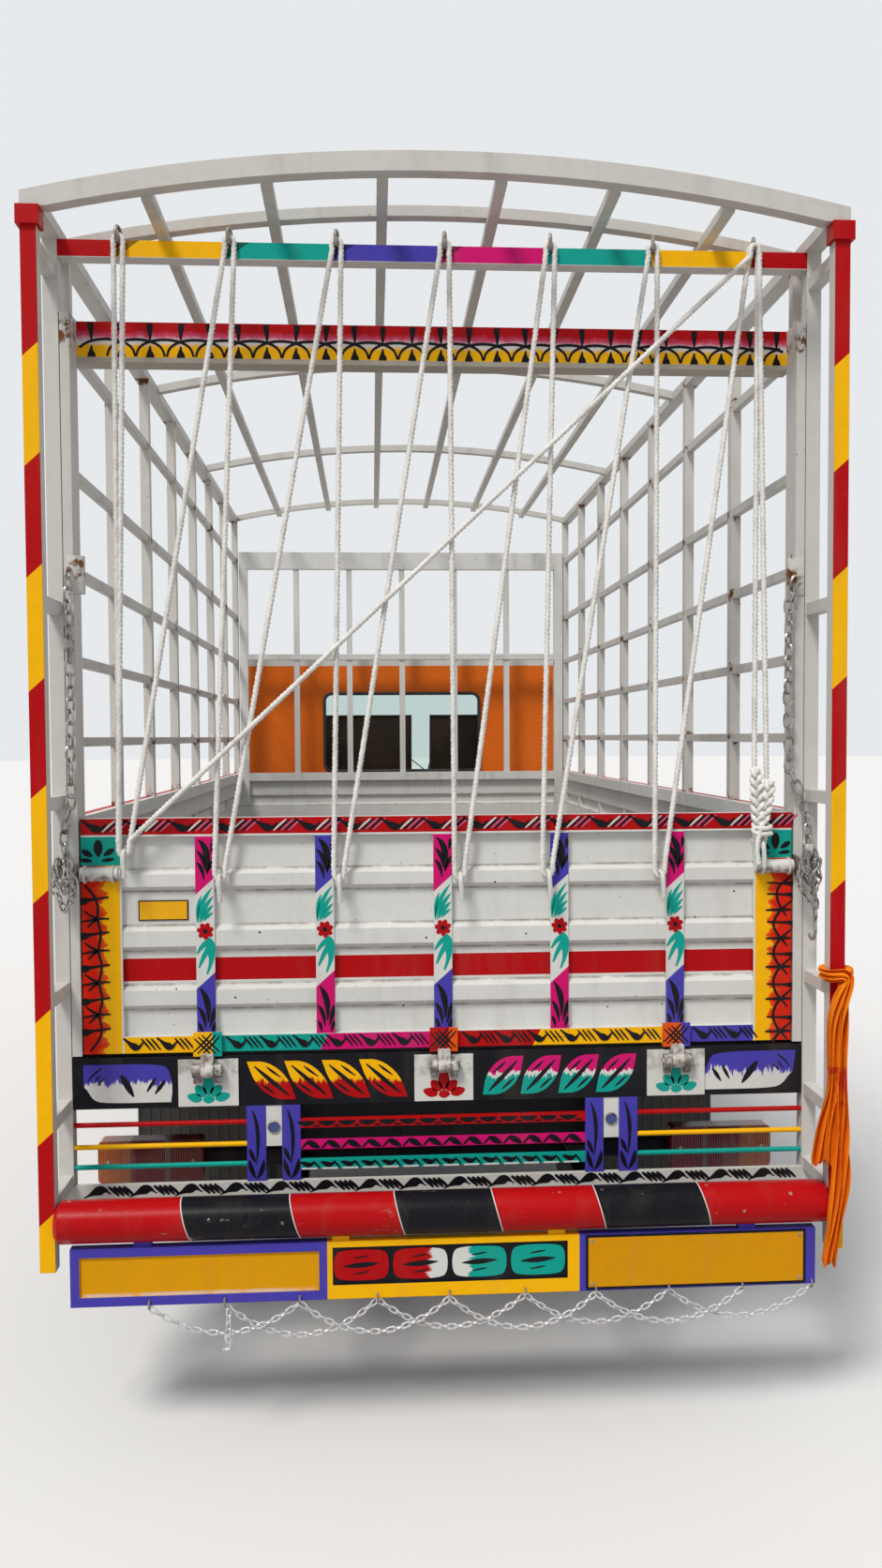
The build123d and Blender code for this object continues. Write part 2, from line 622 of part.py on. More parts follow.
# Hinge plates on the sill: each has two ears and the pin that the tailgate turns on.
hinge_xs = (-570.0, 0.0, 575.0)
plate_half = 72.0
plate_thickness = 6.0
tail_ear_half = 15.0
root_ear_width = 18.0
ear_side_gap = 1.0
with BuildPart() as hinge_plates:
    for x in hinge_xs:
        block(x - plate_half, x + plate_half, tail_y - plate_thickness, tail_y,
              sill_low_z + 3, sill_high_z - 7)
        block(x - tail_ear_half - ear_side_gap, x + tail_ear_half + ear_side_gap,
              tail_y - plate_thickness, tail_y, hinge_z - hinge_ear_radius - 5, sill_high_z - 7,
              mode=Mode.SUBTRACT)
    for x in hinge_xs:
        for hand in (-1, 1):
            near = x + hand * (tail_ear_half + ear_side_gap)
            far = near + hand * root_ear_width
            rod_x(near, far, hinge_y, hinge_z, hinge_ear_radius)
            block(near, far, hinge_y, tail_y, hinge_z - hinge_ear_radius - 14, hinge_z)
        rod_x(x - tail_ear_half - root_ear_width - 5, x + tail_ear_half + root_ear_width + 5,
              hinge_y, hinge_z, hinge_pin_radius)
hinge_plates.part.label = "hinge_plates"
export_step(hinge_plates.part, "parts/hinge_plates.step")

# Tailgate: ribbed sheet in a frame of rails and wide side columns, five flat straps
# outside, three hinge ears below and a bolt housing at each upper corner.
tail_straps_x = (-573.0, -286.0, 0.0, 286.0, 573.0)
bolt_z = 1325.0
bolt_radius = 17.0
with BuildPart() as tailgate:
    with BuildSketch(side_plane(-tail_half + 30)):
        with BuildLine():
            Polyline(*ribbed_outline(tail_low_z + 20, wall_top_z - 20, tail_y, -1), close=True)
        make_face()
    extrude(amount=2 * tail_half - 60)
    for low, high in ((tail_low_z, 930.0), (wall_top_z - body_rail_height, wall_top_z)):
        block(-tail_half, tail_half, tail_y, tail_front_y, low, high)
    for _, side in sides:
        block(side * (tail_half - tail_column), side * tail_half, tail_y, tail_front_y,
              tail_low_z, wall_top_z)
        rod_x(side * (tail_half - 90), side * tail_half, tail_y - 6, bolt_z, bolt_radius)
    for x in tail_straps_x:
        block(x - strap_width / 2, x + strap_width / 2, tail_y - 1,
              tail_y + sheet_recess + sheet_wall, tail_low_z + 20, wall_top_z - 20)
    for x in hinge_xs:
        block(x - 34, x + 34, tail_y - 12, tail_y, hinge_z + 32, hinge_z + 90)
        rod_x(x - tail_ear_half, x + tail_ear_half, hinge_y, hinge_z, hinge_ear_radius)
        block(x - tail_ear_half, x + tail_ear_half, hinge_y - 6, tail_y - 3, hinge_z,
              hinge_z + 40)
        block(x - tail_ear_half, x + tail_ear_half, tail_y - 5, tail_y + 5, hinge_z + 39,
              hinge_z + 60)
        rod_x(x - tail_ear_half - 5, x + tail_ear_half + 5, hinge_y, hinge_z,
              hinge_pin_radius + pin_play, mode=Mode.SUBTRACT)
tailgate.part.label = "tailgate"
export_step(tailgate.part, "parts/tailgate.step")

# Ladder frames: at each side a rear post with a cap and a front post, joined by rungs.
front_post_y = tail_y
rungs_z = (580.0, 766.0, 1050.0, 1499.0, 1955.0, 2740.0)
cap_height = 42.0
cap_proud = 8.0
with BuildPart() as ladder_frames:
    for _, side in sides:
        block(side * post_inner_x, side * post_outer_x, post_y, post_y + post_size,
              post_foot_z, top_rail_z)
        block(side * post_inner_x, side * post_outer_x, front_post_y, front_post_y + post_size,
              front_post_foot_z, top_rail_z)
        block(side * (post_inner_x - cap_proud), side * (post_outer_x + cap_proud),
              post_y - cap_proud, post_y + post_size, top_rail_z - cap_height, top_rail_z)
        for z in rungs_z:
            block(side * (post_inner_x + 3), side * (post_outer_x - 3), post_y + post_size,
                  front_post_y, z - 15, z + 15)
ladder_frames.part.label = "ladder_frames"
export_step(ladder_frames.part, "parts/ladder_frames.step")

# Crossbar between the front posts at their tops.
crossbar_depth = 40.0
with BuildPart() as crossbar:
    block(-post_inner_x, post_inner_x, front_post_y, front_post_y + crossbar_depth,
          crossbar_low_z, top_rail_z)
crossbar.part.label = "crossbar"
export_step(crossbar.part, "parts/crossbar.step")

# Arch hoop on the rear posts, and the roof frame behind it: side rails, bent hoops
# and six bars that run the length of the body.
arch_half = post_outer_x - post_size / 2
arch_radius_mid = (arch_half ** 2 + arch_rise ** 2) / (2 * arch_rise)
arch_end_z = top_rail_z + arch_tube / 2
arch_centre_z = arch_end_z + arch_rise - arch_radius_mid


def arch_z(x):
    """Height of a hoop's middle line at a distance from the truck's middle."""
    return arch_centre_z + sqrt(arch_radius_mid ** 2 - x ** 2)


def hoop(y0, y1, half_span, depth):
    """A tube bent to the arch between two distances along the truck."""
    with BuildSketch(back_plane(y0)) as section:
        with BuildLine() as outline:
            ThreePointArc((-half_span, arch_z(half_span) - depth / 2), (0, arch_z(0) - depth / 2),
                          (half_span, arch_z(half_span) - depth / 2))
            Line((half_span, arch_z(half_span) - depth / 2), (half_span, arch_z(half_span) + depth / 2))
            ThreePointArc((half_span, arch_z(half_span) + depth / 2), (0, arch_z(0) + depth / 2),
                          (-half_span, arch_z(half_span) + depth / 2))
            Line((-half_span, arch_z(half_span) + depth / 2), (-half_span, arch_z(half_span) - depth / 2))
        make_face(outline.line)
    extrude(section.sketch, amount=-(y1 - y0))


with BuildPart() as arch_hoop:
    hoop(post_y, post_y + post_size, post_outer_x, arch_height)
    split(bisect_by=Plane.XY.offset(top_rail_z))
arch_hoop.part.label = "arch_hoop"
export_step(arch_hoop.part, "parts/arch_hoop.step")

roof_bars_x = (-660.0, -395.0, -135.0, 135.0, 395.0, 660.0)
roof_bar_half = 13.0
hoops_y = evenly(wall_rear_y + 20, body_front_y - 20, 4)
with BuildPart() as roof_frame:
    for _, side in sides:
        block(side * (post_outer_x - 43), side * post_outer_x, post_y + post_size,
              body_front_y, top_rail_z, top_rail_z + 28)
    for y in hoops_y:
        hoop(y - 15, y + 15, post_outer_x - 6, 26)
    for x in roof_bars_x:
        block(x - roof_bar_half, x + roof_bar_half, post_y + post_size, body_front_y,
              arch_z(x) - 30, arch_z(x) - 8)
    split(bisect_by=Plane.XY.offset(top_rail_z))
roof_frame.part.label = "roof_frame"
export_step(roof_frame.part, "parts/roof_frame.step")

# Bumper tube between the rear posts, on two arms from the rear sill.
bumper_radius = 48.0
bumper_z = 547.0
bumper_y = rear_y + bumper_radius
lamp_bar_half = 790.0
bumper_arm_x = 378.0
with BuildPart() as bumper_tube:
    rod_x(-post_inner_x, post_inner_x, bumper_y, bumper_z, bumper_radius)
    chamfer(bumper_tube.edges().filter_by(GeomType.CIRCLE), 10)
    for _, side in sides:
        block(side * (bumper_arm_x - 38), side * bumper_arm_x, bumper_y, lamp_bar_y + 30,
              bumper_z - 38, bumper_z - 14)
        block(side * (bumper_arm_x - 48), side * bumper_arm_x, lamp_bar_y - 30, lamp_bar_y,
              bumper_z - 30, rail_low_z)
    block(-lamp_bar_half, lamp_bar_half, lamp_bar_y, lamp_bar_y + 30, bumper_z - 25, bumper_z + 15)
bumper_tube.part.label = "bumper_tube"
export_step(bumper_tube.part, "parts/bumper_tube.step")

# Plate panel below the tube: a framed board with three fields, on four hangers.
panel_half = 862.0
panel_low_z = 358.0
panel_high_z = 492.0
panel_rear_y = rear_y + 25
panel_fields = ((-841.0, -300.0, 381.0, 471.0), (-268.0, 275.0, 391.0, 478.0))
raised_field = (318.0, 837.0, 363.0, 490.0)
panel_hangers_x = (-700.0, -250.0, 250.0, 700.0)
with BuildPart() as plate_panel:
    block(-panel_half, panel_half, panel_rear_y, panel_rear_y + 24, panel_low_z, panel_high_z)
    for x0, x1, z0, z1 in panel_fields:
        block(x0, x1, panel_rear_y, panel_rear_y + 5, z0, z1, mode=Mode.SUBTRACT)
    x0, x1, z0, z1 = raised_field
    block(x0, x1, panel_rear_y - 4, panel_rear_y, z0, z1)
    for x in panel_hangers_x:
        block(x - 20, x + 20, panel_rear_y + 6, panel_rear_y + 24, panel_high_z, bumper_z)
    rod_x(-post_inner_x, post_inner_x, bumper_y, bumper_z, bumper_radius, mode=Mode.SUBTRACT)
plate_panel.part.label = "plate_panel"
export_step(plate_panel.part, "parts/plate_panel.step")

# Guard below the sill: straps hung from it in pairs, rods beside them, painted flats
# between them and a long flat below.
strap_bounds = ((350.0, 395.0), (434.0, 480.0))
lower_bar_low_z = 537.0
lower_bar_high_z = 570.0
guard_y = tail_y
strap_web_low_z = 655.0
with BuildPart() as guard_straps:
    for _, side in sides:
        for near, far in strap_bounds:
            block(side * near, side * far, guard_y, guard_y + 10, lower_bar_high_z, sill_low_z)
        block(side * strap_bounds[0][1], side * strap_bounds[1][0], guard_y + 2, guard_y + 8,
              strap_web_low_z, sill_low_z)
guard_straps.part.label = "guard_straps"
export_step(guard_straps.part, "parts/guard_straps.step")

rods_z = (715.0, 661.0, 612.0)
flats_z = ((698.0, 721.0), (645.0, 668.0), (596.0, 621.0))
with BuildPart() as guard_bars:
    for _, side in sides:
        for z in rods_z:
            rod_x(side * strap_bounds[1][1], side * post_inner_x, guard_y + 8, z, 6)
    for low, high in flats_z:
        block(-strap_bounds[0][0], strap_bounds[0][0], guard_y, guard_y + 9, low, high)
    block(-post_inner_x, post_inner_x, guard_y, guard_y + 12, lower_bar_low_z, lower_bar_high_z)
guard_bars.part.label = "guard_bars"
export_step(guard_bars.part, "parts/guard_bars.step")

# Tail lamps: two long lamp boxes on the bar that crosses behind the guard.
lamp_inner_x = 614.0
lamp_outer_x = 883.0
lamp_low_z = 500.0
lamp_high_z = 610.0
with BuildPart() as tail_lamps:
    for _, side in sides:
        block(side * lamp_inner_x, side * lamp_outer_x, lamp_bar_y - 45, lamp_bar_y,
              lamp_low_z, lamp_high_z)
    fillet(tail_lamps.edges().filter_by(Axis.Y), 12)
tail_lamps.part.label = "tail_lamps"
export_step(tail_lamps.part, "parts/tail_lamps.step")

# Cab: its side view crossed with its front view, both pulled in by an inset.
screen_top_y = cab_front_y - 140
cab_lean = 42.0


def cab_form(inset):
    """The closed form of the cab, pulled in by inset on every face."""
    low = skirt_z + inset
    rear = cab_rear_y + inset
    front = cab_front_y - inset
    top = roof_z - inset
    half = cab_half - inset
    with BuildPart() as form:
        with BuildSketch(side_plane(-cab_half)):
            with BuildLine():
                FilletPolyline((rear, low), (front - 20, low), (front, low + 190),
                               (front - 5, belt_z), (screen_top_y - inset, top - 60),
                               (screen_top_y - inset - 190, top), (rear + 25, top - 25),
                               radius=(0, 40, 40, 60, 70, 200, 30), close=True)
            make_face()
        extrude(amount=cab_width)
        with BuildSketch(back_plane(cab_rear_y)):
            with BuildLine():
                FilletPolyline((-half + 14, low), (half - 14, low), (half, low + 160), (half, belt_z),
                               (half - cab_lean, top), (-half + cab_lean, top), (-half, belt_z),
                               (-half, low + 160),
                               radius=(0, 0, 30, 200, 90, 90, 200, 30), close=True)
            make_face()
        extrude(amount=-cab_length, mode=Mode.INTERSECT)
    return form.part


def cab_layer(outer, inner):
    """The part of the cab's wall between two insets."""
    with BuildPart() as layer:
        add(cab_form(outer))
        add(cab_form(inner), mode=Mode.SUBTRACT)
    return layer.part


door_rear_y = front_axle_y - 120
door_front_y = door_rear_y + 800
door_low_z = 640.0
door_top_z = roof_z - 95
door_lip = 30.0
pillar_lean = 95.0


def door_outline(shrink):
    """Side view of the doorway, cut by the wheel arch and its lip."""
    with BuildLine() as outline:
        Polyline((door_rear_y, door_low_z), (door_front_y, door_low_z), (door_front_y, belt_z + 20),
                 (door_front_y - pillar_lean, door_top_z), (door_rear_y, door_top_z), close=True)
    make_face(outline.line)
    with Locations((front_axle_y, axle_z)):
        Circle(arch_radius + door_lip, mode=Mode.SUBTRACT)
    if shrink:
        offset(amount=-shrink, kind=Kind.INTERSECTION, mode=Mode.REPLACE)


def window_outline():
    """Side view of the door's window."""
    with BuildLine() as outline:
        FilletPolyline((door_rear_y + 70, belt_z + 70), (door_front_y - 70, belt_z + 70),
                       (door_front_y - pillar_lean - 55, door_top_z - 70),
                       (door_rear_y + 70, door_top_z - 70), radius=45, close=True)
    make_face(outline.line)


cab_full = cab_form(0)
cab_inside = cab_form(cab_wall)
wall_cut = cab_layer(-3, cab_wall + run_gap)
glass_layer = cab_layer(glass_depth, glass_depth + glass_thickness)
screen_half = 740.0
screen_low_z = belt_z + 55
screen_top_z = roof_z - 150
back_window_half = 430.0
back_window_low_z = belt_z + 130
back_window_top_z = roof_z - 240
with BuildPart() as cab_shell:
    add(cab_full)
    with BuildPart(mode=Mode.PRIVATE) as cab_room:
        add(cab_inside)
        split(bisect_by=Plane.XY.offset(cab_floor_z))
    add(cab_room.part, mode=Mode.SUBTRACT)
    block(-cab_half + 60, cab_half - 60, cab_rear_y - 5, cab_front_y - 66, skirt_z - 5,
          floor_low_z, mode=Mode.SUBTRACT)
    rod_x(-cab_half - 5, cab_half + 5, front_axle_y, axle_z, arch_radius, mode=Mode.SUBTRACT)
    for _, side in sides:
        with BuildPart(mode=Mode.PRIVATE) as doorway:
            with BuildSketch(side_plane(side * (cab_half + 20))):
                door_outline(0)
            extrude(amount=-side * 160)
            add(wall_cut, mode=Mode.INTERSECT)
        add(doorway.part, mode=Mode.SUBTRACT)
    with BuildSketch(back_plane(cab_front_y - 300)):
        with Locations((0, (screen_low_z + screen_top_z) / 2)):
            RectangleRounded(2 * screen_half, screen_top_z - screen_low_z, 50)
    extrude(amount=-310, mode=Mode.SUBTRACT)
    with BuildSketch(back_plane(cab_rear_y - 5)):
        with Locations((0, (back_window_low_z + back_window_top_z) / 2)):
            RectangleRounded(2 * back_window_half, back_window_top_z - back_window_low_z, 40)
    extrude(amount=-100, mode=Mode.SUBTRACT)
cab_shell.part.label = "cab_shell"
export_step(cab_shell.part, "parts/cab_shell.step")

with BuildPart() as cab_glass:
    with BuildSketch(back_plane(cab_front_y - 300)):
        with Locations((0, (screen_low_z + screen_top_z) / 2)):
            RectangleRounded(2 * screen_half, screen_top_z - screen_low_z, 50)
    extrude(amount=-310)
    with BuildSketch(back_plane(cab_rear_y - 5)):
        with Locations((0, (back_window_low_z + back_window_top_z) / 2)):
            RectangleRounded(2 * back_window_half, back_window_top_z - back_window_low_z, 40)
    extrude(amount=-100)
    add(glass_layer, mode=Mode.INTERSECT)
cab_glass.part.label = "cab_glass"
export_step(cab_glass.part, "parts/cab_glass.step")

# Door hinges: the cab's half of each, two barrels with a pin on a leaf; the door's
# barrel turns between them.
door_hinges_z = (900.0, 1240.0)
door_barrel_radius = 9.0
door_pin_radius = 4.0
door_barrel_half = 15.0
door_axis_x = cab_half + door_barrel_radius
door_axis_y = door_front_y - door_gap / 2
leaf_thickness = 6.0
with BuildPart() as door_hinges:
    for _, side in sides:
        for z in door_hinges_z:
            for hand in (-1, 1):
                near = z + hand * (door_barrel_half + 1)
                far = near + hand * door_barrel_half
                rod_z(side * door_axis_x, door_axis_y, min(near, far), max(near, far),
                      door_barrel_radius)
                block(side * cab_half, side * (cab_half + leaf_thickness), door_axis_y + 4.6,
                      door_axis_y + 38, near, far)
            rod_z(side * door_axis_x, door_axis_y, z - 33, z + 33, door_pin_radius)
door_hinges.part.label = "door_hinges"
export_step(door_hinges.part, "parts/door_hinges.step")

# Doors: the wall's own layer within the doorway, hung at its front edge.
for side_name, side in sides:
    with BuildPart() as door:
        with BuildSketch(side_plane(side * (cab_half + 20))):
            door_outline(door_gap)
        extrude(amount=-side * 160)
        add(cab_layer(0, cab_wall), mode=Mode.INTERSECT)
        with BuildSketch(side_plane(side * (cab_half + 20))):
            window_outline()
        extrude(amount=-side * 160, mode=Mode.SUBTRACT)
        for z in door_hinges_z:
            rod_z(side * door_axis_x, door_axis_y, z - door_barrel_half, z + door_barrel_half,
                  door_barrel_radius)
            block(side * cab_half, side * (cab_half + leaf_thickness), door_axis_y - 38,
                  door_axis_y, z - door_barrel_half, z + door_barrel_half)
            rod_z(side * door_axis_x, door_axis_y, z - door_barrel_half - 1,
                  z + door_barrel_half + 1, door_pin_radius + pin_play, mode=Mode.SUBTRACT)
    door.part.label = f"door_{side_name}"
    export_step(door.part, f"parts/door_{side_name}.step")
    with BuildPart() as door_glass:
        with BuildSketch(side_plane(side * (cab_half + 20))):
            window_outline()
        extrude(amount=-side * 160)
        add(glass_layer, mode=Mode.INTERSECT)
    door_glass.part.label = f"door_glass_{side_name}"
    export_step(door_glass.part, f"parts/door_glass_{side_name}.step")

# Grille: a frame with level slats on the cab's face.
grille_half = 450.0
grille_low_z = 790.0
grille_high_z = 1010.0
face_y = cab_front_y
with BuildPart() as grille:
    block(-grille_half, grille_half, face_y, face_y + 30, grille_low_z, grille_high_z)
    block(-grille_half + 20, grille_half - 20, face_y + 4, face_y + 30, grille_low_z + 20,
          grille_high_z - 20, mode=Mode.SUBTRACT)
    for z in evenly(grille_low_z + 45, grille_high_z - 45, 4):
        block(-grille_half + 20, grille_half - 20, face_y + 4, face_y + 24, z - 9, z + 9)
grille.part.label = "grille"
export_step(grille.part, "parts/grille.step")

# Headlamps: rounded boxes beside the grille.
lamp_near_x = grille_half + 70
lamp_far_x = lamp_near_x + 260
with BuildPart() as headlamps:
    for _, side in sides:
        block(side * lamp_near_x, side * lamp_far_x, face_y, face_y + 36, grille_low_z + 20,
              grille_low_z + 190)
    fillet(headlamps.edges().filter_by(Axis.Y), 40)
headlamps.part.label = "headlamps"
export_step(headlamps.part, "parts/headlamps.step")

# Front bumper: a deep channel, open behind, carried by the chassis horns.
bumper_rear_y = cab_front_y + 6
bumper_low_z = 440.0
bumper_high_z = 640.0
bumper_skin = 8.0
plate_hole_spacing = 300.0
plate_hole_radius = 3.5
with BuildPart() as front_bumper:
    with BuildSketch(side_plane(-cab_half)):
        with BuildLine():
            FilletPolyline((bumper_rear_y, bumper_low_z), (front_y - 12, bumper_low_z),
                           (front_y, bumper_low_z + 40), (front_y, bumper_high_z - 40),
                           (front_y - 12, bumper_high_z), (bumper_rear_y, bumper_high_z),
                           (bumper_rear_y, bumper_high_z - bumper_skin),
                           (front_y - 20, bumper_high_z - bumper_skin),
                           (bumper_web_y, bumper_high_z - 44), (bumper_web_y, bumper_low_z + 44),
                           (front_y - 20, bumper_low_z + bumper_skin),
                           (bumper_rear_y, bumper_low_z + bumper_skin),
                           radius=(0, 12, 20, 20, 12, 0, 0, 8, 0, 0, 8, 0), close=True)
        make_face()
    extrude(amount=cab_width)
    for x in (-plate_hole_spacing / 2, plate_hole_spacing / 2):
        rod_y(x, bumper_rear_y, front_y + 5, (bumper_low_z + bumper_high_z) / 2, plate_hole_radius,
              mode=Mode.SUBTRACT)
front_bumper.part.label = "front_bumper"
export_step(front_bumper.part, "parts/front_bumper.step")

# Sun visor: a board that leans out over the windscreen from the cab's brow.
visor_half = screen_half + 20
with BuildPart() as sun_visor:
    with BuildSketch(side_plane(-visor_half)):
        with BuildLine():
            Polyline((screen_top_y - 10, roof_z - 75), (screen_top_y + 175, roof_z - 145),
                     (screen_top_y + 178, roof_z - 137), (screen_top_y - 40, roof_z - 47), close=True)
        make_face()
    extrude(amount=2 * visor_half)
    add(cab_full, mode=Mode.SUBTRACT)
sun_visor.part.label = "sun_visor"
export_step(sun_visor.part, "parts/sun_visor.step")

# Mirrors: a head on an arm from each windscreen pillar.
mirror_y = door_front_y + 60
mirror_low_z = belt_z + 90
mirror_high_z = mirror_low_z + 260
mirror_arm_z = mirror_low_z + 80
with BuildPart() as mirrors:
    for _, side in sides:
        block(side * (cab_half - 40), side * (cab_half + 60), mirror_y - 9, mirror_y + 9,
              mirror_arm_z, mirror_arm_z + 18)
        block(side * (cab_half + 50), side * (cab_half + 150), mirror_y - 22, mirror_y + 22,
              mirror_low_z, mirror_high_z)
    fillet(mirrors.edges().filter_by(Axis.Y), 8)
    add(cab_full, mode=Mode.SUBTRACT)
mirrors.part.label = "mirrors"
export_step(mirrors.part, "parts/mirrors.step")

# Dashboard: a shelf below the windscreen, its face towards the seats.
dash_front_y = cab_front_y - cab_wall - 5
with BuildPart() as dashboard:
    with BuildSketch(side_plane(-cab_half + 70)):
        with BuildLine():
            FilletPolyline((dash_front_y - 60, cab_floor_z), (dash_front_y - 20, cab_floor_z),
                           (dash_front_y - 5, belt_z - 20), (dash_front_y - 230, belt_z),
                           (dash_front_y - 320, belt_z - 60), (dash_front_y - 270, belt_z - 200),
                           radius=(0, 0, 20, 40, 40, 40), close=True)
        make_face()
    extrude(amount=cab_width - 140)
dashboard.part.label = "dashboard"
export_step(dashboard.part, "parts/dashboard.step")

# Seats: the driver's at the right and a wider bench at the left.
seat_rear_y = cab_rear_y + 420
driver_x = cab_half - 480
cushion_low_z = cab_floor_z + 220
cushion_depth = 120.0
seat_back_z = cab_floor_z + 880
seat_table = (  # middle_x, half_width
    (driver_x, 240.0),
    (-cab_half + 560, 400.0),
)
with BuildPart() as seats:
    for middle_x, half_width in seat_table:
        block(middle_x - half_width + 30, middle_x + half_width - 30, seat_rear_y + 30,
              seat_rear_y + 440, cab_floor_z, cushion_low_z)
        block(middle_x - half_width, middle_x + half_width, seat_rear_y + 10, seat_rear_y + 490,
              cushion_low_z, cushion_low_z + cushion_depth)
        with BuildSketch(side_plane(middle_x - half_width)):
            with BuildLine():
                Polyline((seat_rear_y + 10, cushion_low_z + cushion_depth - 10),
                         (seat_rear_y + 120, cushion_low_z + cushion_depth - 10),
                         (seat_rear_y + 30, seat_back_z), (seat_rear_y - 60, seat_back_z), close=True)
            make_face()
        extrude(amount=2 * half_width)
seats.part.label = "seats"
export_step(seats.part, "parts/seats.step")

# Steering column and wheel, in front of the driver's seat.
steer_tilt = 38.0
steer_hub = Vector(driver_x, seat_rear_y + 640, cab_floor_z + 520)
steer_up = Vector(0, -sin(radians(steer_tilt)), cos(radians(steer_tilt)))
wheel_ring_radius = 205.0
with BuildPart() as steering_wheel:
    with BuildSketch(Plane(origin=steer_hub, x_dir=(1, 0, 0), z_dir=steer_up)):
        Circle(38)
    extrude(amount=24)
    steer_plane = Plane(origin=steer_hub + steer_up * 12, x_dir=(1, 0, 0), z_dir=steer_up)
    with BuildSketch(Plane(origin=steer_plane.origin + Vector(wheel_ring_radius, 0, 0),
                           x_dir=(1, 0, 0), z_dir=steer_up.cross(Vector(1, 0, 0)))):
        Circle(13)
    revolve(axis=Axis(steer_plane.origin, steer_up))
    with BuildSketch(steer_plane.offset(-6)):
        with PolarLocations(wheel_ring_radius / 2, 3):
            Rectangle(wheel_ring_radius, 24)
    extrude(amount=12)
steering_wheel.part.label = "steering_wheel"
export_step(steering_wheel.part, "parts/steering_wheel.step")

with BuildPart() as steering_column:
    with BuildSketch(Plane(origin=steer_hub - steer_up * 0.5, x_dir=(1, 0, 0), z_dir=-steer_up)):
        Circle(26)
    extrude(amount=800)
    split(bisect_by=Plane.XY.offset(cab_floor_z))
    add(dashboard.part, mode=Mode.SUBTRACT)
steering_column.part.label = "steering_column"
export_step(steering_column.part, "parts/steering_column.step")

# Scarf: a plain soft solid where the cloth is knotted round the right rear post.
knot_z = 1086.0
scarf_gap = 0.4
with BuildPart() as scarf:
    block(post_inner_x - 16, post_outer_x + 16, post_y - 22, post_y + post_size + 16,
          knot_z - 20, knot_z + 40)
    fillet(scarf.edges().filter_by(Axis.Z), 14)
    block(post_inner_x - scarf_gap, post_outer_x + scarf_gap, post_y - scarf_gap,
          post_y + post_size + scarf_gap, knot_z - 50, knot_z + 50, mode=Mode.SUBTRACT)
    block(post_inner_x - 16, post_inner_x + 30, post_y - 22, post_y - scarf_gap, 620, knot_z - 20)
scarf.part.label = "scarf"
export_step(scarf.part, "parts/scarf.step")
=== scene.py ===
import bmesh
import bpy
import random
from math import ceil, cos, pi, radians, sin
from mathutils import Matrix, Vector


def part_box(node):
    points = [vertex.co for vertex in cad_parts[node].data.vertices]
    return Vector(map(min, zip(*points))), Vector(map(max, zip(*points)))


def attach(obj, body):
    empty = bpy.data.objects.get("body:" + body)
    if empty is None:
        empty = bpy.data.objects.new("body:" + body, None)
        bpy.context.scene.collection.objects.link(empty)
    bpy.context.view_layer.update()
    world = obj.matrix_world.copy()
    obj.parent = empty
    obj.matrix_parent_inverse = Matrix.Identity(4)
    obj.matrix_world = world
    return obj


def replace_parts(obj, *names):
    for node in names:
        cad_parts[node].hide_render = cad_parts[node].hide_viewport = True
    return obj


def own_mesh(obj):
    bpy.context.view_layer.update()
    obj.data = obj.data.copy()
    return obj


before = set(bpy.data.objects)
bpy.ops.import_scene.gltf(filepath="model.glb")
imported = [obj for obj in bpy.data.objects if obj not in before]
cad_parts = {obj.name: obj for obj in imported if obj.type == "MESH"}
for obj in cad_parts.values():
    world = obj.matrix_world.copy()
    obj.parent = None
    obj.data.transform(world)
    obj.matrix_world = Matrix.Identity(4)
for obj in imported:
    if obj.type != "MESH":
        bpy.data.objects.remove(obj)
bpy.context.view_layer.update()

# Viewpoint: a camera held at standing height behind the truck, a little left of its
# middle line, and turned slightly to the right.
camera_place = Vector((-0.169, -5.438, 1.648))
camera_yaw, camera_pitch, camera_roll = radians(3.35), radians(2.3), radians(-0.33)
picture_long_side = 1672
focal_pixels = 1254.2
sensor_size = 36
ahead = Vector((sin(camera_yaw) * cos(camera_pitch), cos(camera_yaw) * cos(camera_pitch),
                -sin(camera_pitch)))
level_right = Vector((cos(camera_yaw), -sin(camera_yaw), 0))
level_up = level_right.cross(ahead)
rolled_right = level_right * cos(camera_roll) + level_up * sin(camera_roll)
rolled_up = level_up * cos(camera_roll) - level_right * sin(camera_roll)
camera_data = bpy.data.cameras.new("rear_camera")
camera_data.sensor_width = sensor_size
camera_data.lens = sensor_size * focal_pixels / picture_long_side
camera_data.clip_end = 400
camera = bpy.data.objects.new("rear_camera", camera_data)
camera_turn = Matrix((rolled_right, rolled_up, -ahead)).transposed()
camera.matrix_world = Matrix.Translation(camera_place) @ camera_turn.to_4x4()
bpy.context.scene.collection.objects.link(camera)
bpy.context.scene.camera = camera


